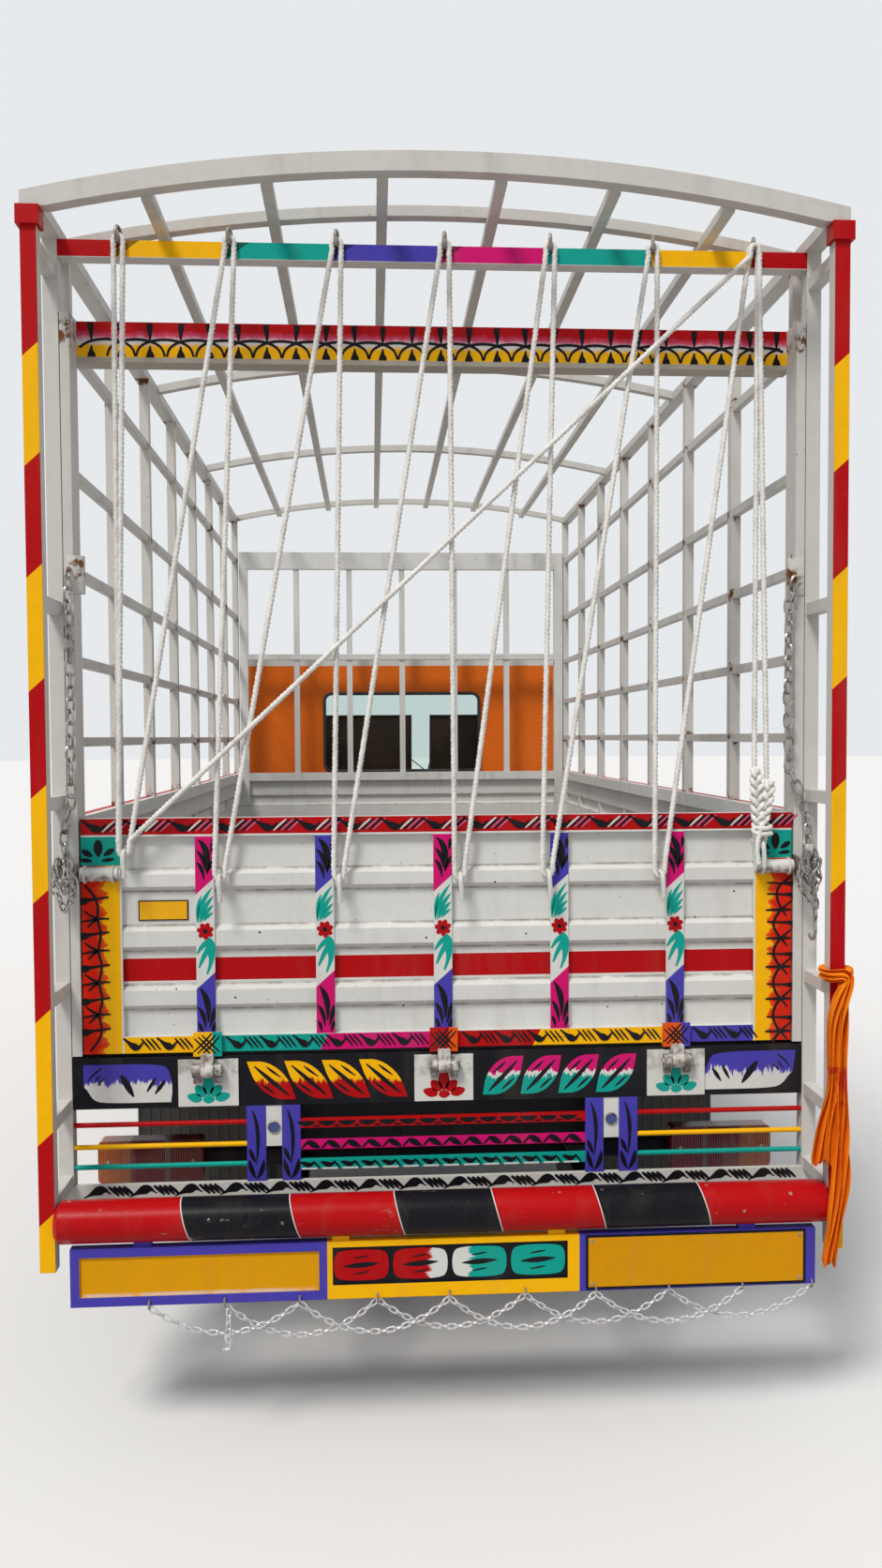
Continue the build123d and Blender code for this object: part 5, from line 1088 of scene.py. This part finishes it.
# Bumper tube: a heavy pipe between the posts, painted in red and black lengths that are
# parted by thin white rings, and scraped along its back.
tube = Finish("bumper_paint")
ring_lean = 0.28
tube_x = tube.x + (tube.z - 0.547) * ring_lean
black_lengths = abs(tube_x).between(0.353, 0.600).most(abs(tube_x) < 0.113)
outer_half = tube.y < -2.70
worn = tube.noise(5.0, 2.0).rise(0.46, 0.62) * outer_half
scrapes = tube.noise(30.0, 6.0, 0.75, (0.30, 1, 1)).rise(0.63, 0.66) * worn
tube_tone = tube.layers(
    "red", (black_lengths, "black"), (tube.y > -2.70, "black"),
    (scrapes.most(tube.chips(21.0, 0.10) * worn), (0.34, 0.28, 0.24)),
    (tube.chips(33.0, 0.06) * outer_half, (0.05, 0.035, 0.03)))
clothe(coat_paint(tube, tube_tone, dirt=0.45, rust=0.2, gloss=0.24), "bumper_tube")
rings = bmesh.new()
for bound in (-0.600, -0.353, -0.113, 0.113, 0.353, 0.600):
    bar_ring(rings, (bound, -2.752, 0.547), (0, -0.0481, 0), (-0.0481 * ring_lean, 0, 0.0481), 40,
             0.0016, 5)
keep_mesh("bumper_rings", rings, brushed("white"), slot="bumper_paint", smooth=60)

# Plate panel: a steel board under the tube, painted in frames: a yellow field, a black
# field with four soft forms, and a plain number plate that is riveted on and left blank.
panel = Finish("panel_paint")
px, pz = panel.x, panel.z
chalk = pz.near((0.3830,), 0.0045) * px.between(-0.835, -0.31) * panel.noise(12.0).rise(0.3, 0.5)
on_plate = (panel.y < -2.7755) * (px > 0.3)
plate_border = (px < 0.3235).most(px > 0.8315).most(pz < 0.3685).most(pz > 0.4845)
panel_tone = panel.layers(
    "violet", (px.between(-0.281, 0.303), "yellow"),
    (px.between(-0.8415, -0.2995) * pz.between(0.3805, 0.4715), (0.68, 0.31, 0.001)),
    (px.between(-0.2685, 0.2755) * pz.between(0.3905, 0.4785), "black"),
    (chalk * 0.8, (0.60, 0.60, 0.58)), (on_plate, (0.64, 0.28, 0.001)),
    (on_plate * plate_border, "black"))
clothe(coat_paint(panel, panel_tone, dirt=0.45, rust=0.2), "plate_panel")
panel_art = Brushwork(-2.771)
faded("white_from_red", "white", "red", -0.048, sideways=True)
faded("teal_from_white", "teal", "white", 0.048, sideways=True)
for middle_x, paint in ((-0.203, "red"), (-0.067, "white_from_red"), (0.070, "teal_from_white"),
                        (0.2065, "teal")):
    corner_shares = ((-0.75, 1), (0.75, 1), (1, 0.6), (1, -0.6), (0.75, -1), (-0.75, -1),
                     (-1, -0.6), (-1, 0.6))
    panel_art.patch(eased_loop([(middle_x + across * 0.063, 0.4345 + up * 0.036)
                                for across, up in corner_shares]), paint)
    for rise, reach, fat in ((0.0, 40, 13), (0.0185, 17, 4), (-0.0185, 17, 4)):
        panel_art.pulls(((-reach, 432.5, 2, -reach * 0.4, 433.5, fat * 0.9, reach * 0.3, 435.5, fat,
                          reach, 437.5, 2),), middle_x, rise, lift=2)
panel_art.fix("panel_forms", "panel_paint")
plate_rivets = bmesh.new()
for x, z in ((0.332, 0.376), (0.332, 0.477), (0.823, 0.376), (0.823, 0.477)):
    disc_along(plate_rivets, (x, -2.7788, z), (0, -1, 0), 0.0045, 0.0028, 10, 0.003)
keep_mesh("plate_rivets", plate_rivets, forged_steel, slot="panel_paint", smooth=40)

# Chain swags: light galvanised chain hung in overlapping loops from hooks along the foot
# of the panel, with one length left dangling.
galvanised = Finish("chain_galvanised")
zinc_tone = galvanised.noise(80.0, 3.0, 0.6)
chain_zinc = galvanised.surface(
    galvanised.layers((0.66, 0.66, 0.67), (zinc_tone.rise(0.50, 0.80), (0.30, 0.28, 0.25))),
    zinc_tone * 0.25 + 0.3, 0.45)
swag_link = link_shape("swag_link_shape", 0.0260, 0.0150, 0.0041)
swag_pitch = 0.0188
swag_hooks = (-0.685, -0.515, -0.344, -0.166, 0.0, 0.176, 0.341, 0.512, 0.686, 0.852)
swag_lows = (0.290, 0.277, 0.281, 0.284, 0.279, 0.283, 0.282, 0.287)
panel_foot_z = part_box("plate_panel")[0].z
panel_face_y = -2.775
swags = bmesh.new()
hook_bars = bmesh.new()
for hook_x in swag_hooks:
    bend = [(hook_x, panel_face_y - out, panel_foot_z + up) for out, up in (
        (0.001, 0.012), (0.008, 0.009), (0.009, -0.003), (0.002, -0.008), (-0.006, -0.004))]
    tube_along(hook_bars, bend, 0.0025, sides=6, step=0.004)
for number, low_z in enumerate(swag_lows):
    start_x, end_x = swag_hooks[number], swag_hooks[number + 2]
    top_z = panel_foot_z - 0.004
    curve = [(start_x + (end_x - start_x) * step / 16, panel_face_y - 0.003 + 0.005 * (number % 2),
              top_z - (top_z - low_z) * (1 - (step / 8 - 1) ** 2)) for step in range(17)]
    chain_along(swags, curve, swag_link, swag_pitch)
for dangling in (((-0.506, 0.006, 0.345), (-0.507, 0.006, 0.251)),
                 ((-0.509, 0.010, 0.282), (-0.498, 0.012, 0.262), (-0.514, 0.012, 0.256))):
    chain_along(swags, [(x, panel_face_y - out, z) for x, out, z in dangling], swag_link,
                swag_pitch)
keep_mesh("chain_swags", swags, chain_zinc, smooth=50)
keep_mesh("swag_hooks", hook_bars, forged_steel, slot="panel_paint", smooth=50)

# Rope lashing: one laid white rope, run down from each eye to the hook below and up to
# the next eye, with a last length drawn across all of them and made fast in a knot.
fibre = Finish("rope_fibre")
fibre_grey = fibre.noise(18.0, 4.0, 0.6).rise(0.45, 0.75) * 0.55
rope_white = fibre.surface(fibre.layers((0.84, 0.82, 0.78), (fibre_grey, (0.42, 0.39, 0.35))), 0.85,
                           height=fibre.noise(420.0, 2.0, 0.6), height_size=0.0012,
                           Sheen_Weight=0.25)
rope_radius = 0.0060
eye_out_y = eye_y - 0.001
hook_out_y = gate_face_y - 0.0165
front_step = 0.0128


def over_eye(number, forward=0.0, side=1):
    """The rope's turn through an eye, coming up at one side and going down at the other."""
    return [(ring_xs[number] + side * across, eye_out_y - forward, z) for across, z in
            ((0.0108, 2.796), (0.0110, 2.811), (0.0078, 2.8205), (0, 2.8240), (-0.0078, 2.8205),
             (-0.0110, 2.811), (-0.0108, 2.796))]


def under_hook(number, forward=0.0, side=1):
    """The rope's turn below a hook's bar."""
    hook_x, hook_z = hook_table[number]
    return [(hook_x + side * across, hook_out_y - forward, hook_z + 0.020 + z) for across, z in
            ((0.0128, 0.024), (0.0122, 0.002), (0.0080, -0.0090), (0, -0.0125), (-0.0080, -0.0090),
             (-0.0122, 0.002), (-0.0128, 0.024))]


def curve_points(points):
    """Points along a smooth curve drawn through control points."""
    data = bpy.data.curves.new("guide", "CURVE")
    data.dimensions = "3D"
    spline = data.splines.new("NURBS")
    spline.points.add(len(points) - 1)
    for point, place in zip(spline.points, points):
        point.co = (*place, 1)
    spline.use_endpoint_u = True
    spline.order_u = 3
    spline.resolution_u = 8
    guide = bpy.data.objects.new("guide", data)
    mesh = bpy.data.meshes.new_from_object(guide)
    line = [vert.co.copy() for vert in mesh.vertices]
    bpy.data.objects.remove(guide)
    bpy.data.curves.remove(data)
    bpy.data.meshes.remove(mesh)
    return line


def lay_rope(points, radius):
    tube_along(ropes, points, radius, sides=9, step=0.0045, lobe_depth=0.28, lay=0.032)


knot_x = hook_table[6][0]
knot_y = hook_out_y - 0.008
knot_z = 1.395
rope_line = [(knot_x - 0.016, hook_out_y - 0.004, 1.520)] + over_eye(6)
for number in range(5, 0, -1):
    rope_line += under_hook(number) + over_eye(number)
rope_line += under_hook(0) + over_eye(0, 0, -1) + under_hook(0, front_step, -1)
rope_line += over_eye(6, front_step, -1) + [(knot_x + 0.014, hook_out_y - 0.006, 1.540)]
ropes = bmesh.new()
lay_rope(rope_line, rope_radius)
strand_spread = 0.0125
knot_runs = []
for top_x, top_z, foot_x, foot_z, turns in ((-0.017, 1.566, -0.008, 1.398, 2.5),
                                            (0.019, 1.536, 0.002, 1.432, 1.5)):
    for phase in (0.0, 2 * pi / 3, 4 * pi / 3):  # each plait is three strands that cross in turn
        run = []
        for step in range(round(turns * 8) + 1):
            share = step / round(turns * 8)
            angle = phase + 2 * pi * turns * share
            spread = strand_spread * (0.55 + 0.45 * sin(pi * share) ** 0.5)
            run.append((knot_x + top_x + (foot_x - top_x) * share + spread * sin(angle),
                        knot_y - 0.010 + spread * 0.7 * sin(2 * angle),
                        top_z + (foot_z - top_z) * share))
        knot_runs.append(run)


def from_knot(marks):
    """Points from the knot, given across, out and up in millimetres."""
    return [(knot_x + x / 1000, knot_y - out / 1000, knot_z + up / 1000) for x, out, up in marks]


knot_runs += [  # the loose end, the turn under the hook, and the turn round the plaits
    from_knot(((-6, 22, 30), (-16, 26, 0), (-17, 22, -35), (-12, 22, -60))),
    from_knot(((-12, 4, 20), (-14, 2, 2))) + under_hook(6, 0.002, -1)
    + from_knot(((14, 2, 2), (10, 6, 22))),
    from_knot(((-20, 20, 28), (4, 28, 24), (24, 14, 30), (10, -4, 34), (-16, 0, 30), (-24, 12, 18),
               (-4, 30, 10), (20, 20, 14)))]
for run in knot_runs:
    lay_rope(curve_points(run), rope_radius * 0.95)
lashing = keep_mesh("rope_lashing", ropes, rope_white, smooth=60)
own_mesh(lashing)

# Scarf: one length of thin orange cloth, gathered into narrow pleats, knotted once round
# the right rear post, with both ends left hanging down its back.
cloth = Finish("scarf_cloth")
cloth_weave = cloth.z.maths("SINE", cloth.z * 2600) * 0.5 + cloth.noise(700.0, 2.0) * 0.8
# Painted shade: darker orange streaks that run down the cloth, for the shadow in its folds.
cloth_fold_shade = cloth.noise(26.0, 3.0, 0.6, (1, 1, 0.12)).rise(0.40, 0.70)
dyed = cloth.noise(12.0, 3.0).rise(0.50, 0.56) * cloth.z.between(0.78, 0.88) * 0.8
scarf_cloth = cloth.surface(
    cloth.layers((0.92, 0.25, 0.004), (cloth_fold_shade, (0.72, 0.10, 0.003)),
                 (dyed, (0.62, 0.02, 0.012))),
    0.78, height=cloth_weave, height_size=0.0004, Specular_IOR_Level=0.15)
scarf_width = 0.22
scarf_keys = (  # place in mm, way across the cloth (X, Z), outward way (X, Y), width in mm
    (884, -2800, 418, 1, 0, 0, -1, 34), (892, -2808, 500, 1, 0, 0, -1, 28),
    (908, -2810, 600, 1, 0, 0, -1, 36), (913, -2798, 720, 1, 0, 0, -1, 38),
    (912, -2793, 900, 1, 0, 0, -1, 36), (911, -2792, 1020, 1, 0, 0, -1, 30),
    (914, -2792, 1064, 1, -0.2, 0, -1, 26), (924, -2792, 1086, 0.7, -0.7, 0, -1, 24),
    (937, -2785, 1092, 0.1, -1, 0.4, -1, 26), (943, -2766, 1092, 0, -1, 1, -0.4, 28),
    (943, -2744, 1092, 0, -1, 1, 0.5, 30), (929, -2727, 1092, 0, -1, 0.4, 1, 30),
    (903, -2727, 1090, 0, -1, -0.4, 1, 30), (883, -2744, 1088, 0, -1, -1, 0.4, 30),
    (882, -2772, 1086, 0, -1, -1, -0.4, 28), (892, -2800, 1090, 0.1, -1, -0.4, -1, 26),
    (910, -2811, 1096, 0, -1, 0, -1, 26), (922, -2814, 1088, -0.7, -0.7, 0, -1, 20),
    (914, -2814, 1066, -0.9, 0.35, 0, -1, 22), (904, -2811, 1036, -0.93, 0.35, 0, -1, 28),
    (896, -2803, 985, -1, 0.15, 0, -1, 34), (895, -2797, 900, -1, 0.05, 0, -1, 34),
    (894, -2794, 820, -1, 0, 0, -1, 34), (880, -2793, 740, -1, 0, 0, -1, 46),
    (872, -2793, 654, -1, 0, 0, -1, 56))
key_places = [Vector(key[:3]) / 1000 for key in scarf_keys]
key_ways = [(Vector((key[3], 0, key[4])), Vector((key[5], key[6], 0)), key[7] / 1000)
            for key in scarf_keys]
key_line = curve_points(key_places)
middle_line = even_steps(key_line, line_length(key_line) / 150)
rows = len(middle_line) - 1
pleats = 4
scarf = bmesh.new()
cloth_grid = bmesh.ops.create_grid(scarf, x_segments=pleats * 18, y_segments=rows,
                                   size=0.5)["verts"]
key_runs = [(b - a).length for a, b in zip(key_places, key_places[1:])]
guides = []
for row in range(rows + 1):
    along = sum(key_runs) * row / rows
    key = 0
    while key < len(key_runs) - 1 and along > key_runs[key]:
        along -= key_runs[key]
        key += 1
    share = min(1.0, along / key_runs[key])
    this, other = key_ways[key], key_ways[key + 1]
    guides.append((this[0].lerp(other[0], share).normalized(),
                   this[1].lerp(other[1], share).normalized(),
                   this[2] + (other[2] - this[2]) * share))
for _ in range(4):
    guides[1:-1] = [((a[0] + b[0] * 2 + c[0]).normalized(), (a[1] + b[1] * 2 + c[1]).normalized(),
                     (a[2] + b[2] * 2 + c[2]) / 4)
                    for a, b, c in zip(guides, guides[1:], guides[2:])]
half_pleat = scarf_width / pleats / 2
for vert in cloth_grid:
    u, v = vert.co.x, vert.co.y + 0.5
    row = round(v * rows)
    across, outward, gathered = guides[row]
    tied = max(0.0, 1 - abs(middle_line[row].z - 1.083) / 0.05)
    deep = (half_pleat ** 2 - (gathered / pleats / 2) ** 2) ** 0.5 * (0.90 - 0.28 * tied)
    wander = 0.9 * sin(v * 15) + 0.5 * sin(v * 37 + 1.3) + 1.1 * sin(5.0 * u + v * 6)
    wave = 0.5 * sin(2 * pi * pleats * (u + 0.5) + wander)
    lean = 0.0035 * sin(2 * pi * 1.5 * u + v * 23)
    vert.co = middle_line[row] + across * (u * gathered + lean) + outward * (deep * wave)
    if row in (0, rows):
        vert.co.z += 0.010 * sin(u * 37)
bmesh.ops.recalc_face_normals(scarf, faces=scarf.faces)
back = bmesh.ops.extrude_face_region(scarf, geom=scarf.faces[:], use_keep_orig=True)["geom"]
scarf.normal_update()
cloth_thickness = 0.0006
for vert in back:
    if isinstance(vert, bmesh.types.BMVert):
        vert.co += vert.normal * cloth_thickness
scarf_piece = keep_mesh("knotted_scarf", scarf, scarf_cloth, smooth=75)
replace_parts(scarf_piece, "scarf")
round(line_length(middle_line), 2)

# Tail lamps: long moulded lenses on the bar behind the guard, amber at the outer end and
# red beside it, ribbed inside; black rubber flaps hang behind the wheels.
lens = Finish("lamp_red")
lens_dust = lens.noise(18.0, 4.0).rise(0.5, 0.85) * 0.3
# The lens colours hold painted shade: they are darker than the lenses' own red and amber, as in the
# shadow under the body.
lens_colour_and_shade = lens.layers((0.13, 0.004, 0.006), (abs(lens.x) > 0.800, (0.30, 0.065, 0.006)),
                        (abs(lens.x).between(0.700, 0.712), (0.12, 0.09, 0.085)),
                        (lens_dust, road_dust))
clothe(lens.surface(lens_colour_and_shade, lens_dust * 0.4 + 0.16, height=lens.x.ridges(0.006),
                    height_size=0.0015, edge=0.003, Coat_Weight=0.4), "tail_lamps")
lamp_screws = bmesh.new()
for x in (-0.640, -0.857, 0.640, 0.857):
    disc_along(lamp_screws, (x, -2.3995, 0.555), (0, -1, 0), 0.006, 0.003, 12, 0.0045)
keep_mesh("lamp_screws", lamp_screws, forged_steel, smooth=40)
flap = Finish("flap_rubber")
flap_dust = flap.noise(10.0, 5.0, 0.6).rise(0.40, 0.72) * flap.z.rise(0.85, 0.25)
clothe(flap.surface(flap.layers((0.01, 0.01, 0.01), (flap_dust * 0.4, road_dust)),
                    flap_dust * 0.2 + 0.6, height=flap.x.ridges(0.030).rise(0.30, 0.42),
                    height_size=0.002), "mud_flaps")

# Cab: pressed steel, painted orange with a pale band and a white roof, and finer paint
# than the body's. The doors hang in it on small hinges, with a rubber seal round every
# window and a handle on each door.
cab = Finish("cab_paint")
indoors = (abs(cab.x) < 0.835) * cab.y.between(1.175, 2.66) * cab.z.between(0.9, 2.085)
cab_tone = cab.layers(
    "cab_orange", (cab.z.between(1.165, 1.275), "white"),
    (cab.z.near((1.150, 1.290), 0.006) > 0.35, (0.02, 0.10, 0.20)), (cab.z > 2.045, "white"),
    (cab.z < 0.705, (0.025, 0.025, 0.028)), (indoors, (0.36, 0.35, 0.32)))
clothe(coat_paint(cab, cab_tone, dirt=0.35, rust=0.12, gloss=0.22, edge=0.004), "cab_shell",
       "door_left", "door_right")
clothe(casting_grey, "door_hinges")
clothe(Finish("glass").surface((0.80, 0.88, 0.86), 0.03, Transmission_Weight=1.0, IOR=1.08),
       "cab_glass", "door_glass_left", "door_glass_right")
black_trim = Finish("black_plastic")
trim_grain = black_trim.noise(350.0, 2.0)
trim_black = black_trim.surface(
    black_trim.layers((0.018, 0.018, 0.020),
                      (black_trim.noise(6.0).rise(0.5, 0.8) * 0.35, (0.09, 0.085, 0.08))),
    trim_grain * 0.15 + 0.45, height=trim_grain, height_size=0.0004)
bright = Finish("bright_metal")
bright_metal = bright.surface(bright.layers(
    (0.62, 0.62, 0.63), (bright.noise(40.0).rise(0.55, 0.8), (0.40, 0.38, 0.36))), 0.22, 1.0)


def rounded_loop(half_wide, low, high, radius):
    """Points round a rectangle with rounded corners, across and up."""
    corner_steps = 5
    loop = []
    for number, (x, z) in enumerate(((half_wide, high), (-half_wide, high), (-half_wide, low),
                                     (half_wide, low))):
        mid_x = x - radius if x > 0 else x + radius
        mid_z = z - radius if z == high else z + radius
        for step in range(corner_steps + 1):
            angle = pi / 2 * (number + step / corner_steps)
            loop.append((mid_x + radius * cos(angle), mid_z + radius * sin(angle)))
    return loop


def on_screen(x, z, out):
    """A point on the windscreen's outer face, which leans back from foot to head."""
    return Vector((x, 2.7145 - 0.1345 * (z - 1.330) / 0.740 + out, z))


seals = bmesh.new()
for outline in ([on_screen(x, z, -0.003) for x, z in rounded_loop(0.740, 1.385, 1.980, 0.05)],
                [(x, 1.131, z) for x, z in rounded_loop(0.430, 1.460, 1.890, 0.04)]):
    tube_along(seals, outline, 0.009, closed=True)
keep_mesh("window_seals", seals, trim_black, slot="rubber", smooth=50)
wipers = bmesh.new()
for pivot_x, tip_x in ((-0.30, -0.62), (0.28, -0.06)):
    pivot = on_screen(pivot_x, 1.352, 0.004)
    disc_along(wipers, pivot, (0, 1, 0.15), 0.014, 0.018, 14, 0.010)
    tube_along(wipers, [pivot + Vector((0, 0.016, 0)),
                        on_screen(pivot_x * 0.6 + tip_x * 0.4, 1.46, 0.022),
                        on_screen(tip_x, 1.62, 0.014)], 0.004, sides=6, step=0.02)
    tube_along(wipers, [on_screen(tip_x - 0.14, 1.47, 0.010), on_screen(tip_x + 0.13, 1.77, 0.010)],
               0.006, sides=4, step=0.03)
keep_mesh("wipers", wipers, trim_black, smooth=40)
handle_z = 1.105
for side_name, side in (("left", -1), ("right", 1)):
    handle = bmesh.new()
    grip = [(side * (0.889 + out), y, handle_z) for out, y in (
        (0, 1.735), (0.028, 1.742), (0.034, 1.760), (0.034, 1.850), (0.028, 1.868), (0, 1.875))]
    tube_along(handle, grip, 0.0075, step=0.008)
    for y, radius, depth, far_radius in ((1.700, 0.012, 0.010, 0.010), (1.735, 0.015, 0.008, 0.012),
                                         (1.875, 0.015, 0.008, 0.012)):
        disc_along(handle, (side * 0.885, y, handle_z), (side, 0, 0), radius, depth, 18, far_radius)
    keep_mesh(f"door_handle_{side_name}", handle, bright_metal, body=f"door_{side_name}", smooth=40)

# Cab front: a slatted grille, lamps with fluted lenses in bright rims, a white bumper,
# a painted sun visor and two mirrors.
clothe(trim_black, "grille", "mirrors")
clothe(coat_paint(Finish("front_bumper_paint"), "white", dirt=0.5), "front_bumper")
visor = Finish("visor_paint")
visor_waves = visor.x.ridges(0.19) * 0.16 + visor.z
clothe(coat_paint(visor, visor.layers("yellow", (visor_waves > 2.052, "red"),
                                      (visor_waves.between(2.044, 2.052), "white")), dirt=0.3),
       "sun_visor")
clear_lens = Finish("lamp_clear")
lamp_tone = clear_lens.layers((0.66, 0.68, 0.70), (abs(clear_lens.x) > 0.700, (0.80, 0.30, 0.02)))
clothe(clear_lens.surface(lamp_tone, 0.10, height=clear_lens.x.ridges(0.011), height_size=0.003,
                          edge=0.004, Coat_Weight=0.7), "headlamps")
bezels = bmesh.new()
mirror_faces = bmesh.new()
for side in (-1, 1):
    loop = [(side * 0.650 + x, 2.7505, z) for x, z in rounded_loop(0.131, 0.809, 0.981, 0.04)]
    tube_along(bezels, loop, 0.006, closed=True)
    loop = [mirror_faces.verts.new((side * 0.990 + x, 2.4675, z))
            for x, z in rounded_loop(0.038, 1.434, 1.666, 0.014)]
    face = bmesh.ops.contextual_create(mirror_faces, geom=loop)["faces"]
    bmesh.ops.recalc_face_normals(mirror_faces, faces=face)
    bmesh.ops.solidify(mirror_faces, geom=face, thickness=0.0015)
keep_mesh("headlamp_rims", bezels, bright_metal, smooth=50)
silvered = Finish("mirror_silver")
mirror_tone = silvered.layers((0.80, 0.82, 0.83), (silvered.noise(20.0).rise(0.6, 0.9),
                                                   (0.5, 0.5, 0.48)))
keep_mesh("mirror_glass", mirror_faces, silvered.surface(mirror_tone, 0.03, 1.0), smooth=40)

# Cab inside: a moulded dashboard with two round dials, each a black face in a bright rim
# with ticks and a needle, and a steering wheel on its column.
clothe(trim_black, "dashboard", "steering_column", "steering_wheel")
dials = bmesh.new()
dial_faces = bmesh.new()
dial_way = Vector((0, -0.94, 0.34)).normalized()
dial_across = Vector((1, 0, 0))
dial_up = dial_way.cross(dial_across)
for dial_x in (0.350, 0.470):
    place = Vector((dial_x, 2.3520, 1.2050))
    disc_along(dial_faces, place, dial_way, 0.044, 0.006, 40)
    bar_ring(dials, place + dial_way * 0.006, dial_across * 0.046, dial_up * 0.046, 32, 0.004, 6)
    for angle, height, near, far, thick in [
            (radians(-40 + 26 * tick), 0.0068, 0.034, 0.041, 0.0009) for tick in range(11)] + [
            (2.4, 0.008, 0.0, 0.034, 0.0013)]:
        way = dial_across * cos(angle) + dial_up * sin(angle)
        foot = place + dial_way * height
        tube_along(dials, [foot + way * near, foot + way * far], thick, sides=4)
keep_mesh("dial_rims", dials, bright_metal, smooth=50)
keep_mesh("dial_faces", dial_faces, trim_black, smooth=30)

# Seats: foam cushions in brown vinyl on painted boxes, the driver's and a wider bench.
# Each swells between its edges and has sewn channels.
vinyl = Finish("seat_vinyl")
vinyl_grain = vinyl.noise(260.0, 3.0, 0.6)
seat_vinyl = vinyl.surface(
    vinyl.layers((0.11, 0.050, 0.030), (vinyl.noise(4.0, 3.0).rise(0.45, 0.75),
                                        (0.19, 0.095, 0.055))),
    vinyl_grain * 0.2 + 0.34, height=vinyl_grain, height_size=0.0007)
cushion_places = (
    ("cushion", Matrix.Translation((0, 1.800, 1.185)) @ Matrix.Diagonal((1, 0.237, 0.058, 1))),
    ("back", Matrix.Translation((0, 1.575, 1.512)) @ Matrix.Rotation(radians(-80.7), 4, "X")
     @ Matrix.Diagonal((1, 0.268, 0.046, 1))))
seat_boxes = bmesh.new()
for seat_name, middle_x, half_width, channels in (("driver", 0.410, 0.240, 4),
                                                  ("bench", -0.330, 0.400, 7)):
    for part_name, place in cushion_places:
        pad = bmesh.new()
        bmesh.ops.create_cube(pad, size=2)
        bmesh.ops.subdivide_edges(pad, edges=pad.edges[:], cuts=15, use_grid_fill=True)
        for vert in pad.verts:
            across, along, up = vert.co
            bulge = ((1 - across ** 4) * (1 - along ** 4)) ** 0.5
            rounding = 1 - 0.055 * max(abs(across), abs(along)) ** 6 * (up ** 4)
            channel = abs((across * channels / 2) % 1 - 0.5) * 2
            within = abs(across) < 0.92 and abs(along) < 0.90
            sewn = 0.20 * max(0.0, 1 - channel * 5) if within else 0
            high = up * (0.80 + 0.20 * bulge - (sewn if up > 0.9 else 0))
            vert.co = (across * (half_width - 0.003) * rounding, along * rounding, high)
        bmesh.ops.transform(pad, matrix=Matrix.Translation((middle_x, 0, 0)) @ place,
                            verts=pad.verts)
        cushion = keep_mesh(f"seat_{seat_name}_{part_name}", pad, seat_vinyl, smooth=50)
    block(seat_boxes, (middle_x - half_width + 0.030, 1.580, 0.905),
          (middle_x + half_width - 0.030, 1.990, 1.124), 0.008)
    for stay_x in (middle_x - half_width + 0.060, middle_x + half_width - 0.060):
        block(seat_boxes, (stay_x - 0.014, 1.545, 1.080), (stay_x + 0.014, 1.590, 1.300), 0.003)
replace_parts(keep_mesh("seat_boxes", seat_boxes, chassis_black, smooth=40), "seats")

# Ground and light: a pale, even floor under an even sky, and one soft sun from behind
# and above the viewer. Rays that look past the truck see a plain pale backdrop.
ground_reach = 90
floor_disc = bmesh.new()
bmesh.ops.create_circle(floor_disc, cap_ends=True, radius=ground_reach, segments=64)
ground_mesh = bpy.data.meshes.new("ground")
floor_disc.to_mesh(ground_mesh)
floor_disc.free()
pale = Finish("ground")
ray_kinds = pale.node("ShaderNodeLightPath").outputs
looked_at = Field(pale, ray_kinds["Is Camera Ray"]).most(
    Field(pale, ray_kinds["Is Glossy Ray"])).most(Field(pale, ray_kinds["Is Transmission Ray"]))
ground_mesh.materials.append(pale.surface(
    pale.layers((0.42, 0.41, 0.40), (looked_at, (0.78, 0.775, 0.765))), 0.9))
ground = bpy.data.objects.new("ground", ground_mesh)
bpy.context.scene.collection.objects.link(ground)
world = bpy.data.worlds.new("even_sky")
world.use_nodes = True
bpy.context.scene.world = world
sky = world.node_tree
lighting = sky.nodes["Background"]
lighting.inputs["Color"].default_value = (0.93, 0.95, 1.0, 1)
lighting.inputs["Strength"].default_value = 0.60
backdrop = sky.nodes.new("ShaderNodeBackground")
backdrop.inputs["Color"].default_value = (0.80, 0.82, 0.84, 1)
rays = sky.nodes.new("ShaderNodeLightPath").outputs
looks = rays["Is Camera Ray"]
for ray_kind in ("Is Transmission Ray", "Is Glossy Ray"):
    either = sky.nodes.new("ShaderNodeMath")
    either.operation = "MAXIMUM"
    sky.links.new(looks, either.inputs[0])
    sky.links.new(rays[ray_kind], either.inputs[1])
    looks = either.outputs[0]
choice = sky.nodes.new("ShaderNodeMixShader")
for place, socket in enumerate((looks, lighting.outputs[0], backdrop.outputs[0])):
    sky.links.new(socket, choice.inputs[place])
sky.links.new(choice.outputs[0], sky.nodes["World Output"].inputs[0])
sun_lamp = bpy.data.lights.new("soft_sun", "SUN")
sun_lamp.energy = 2.4
sun_lamp.angle = radians(16)
sun_lamp.color = (1.0, 0.97, 0.92)
sun = bpy.data.objects.new("soft_sun", sun_lamp)
sun.rotation_euler = (radians(37), 0, radians(-32))
bpy.context.scene.collection.objects.link(sun)
bpy.context.scene.view_settings.view_transform = "Standard"
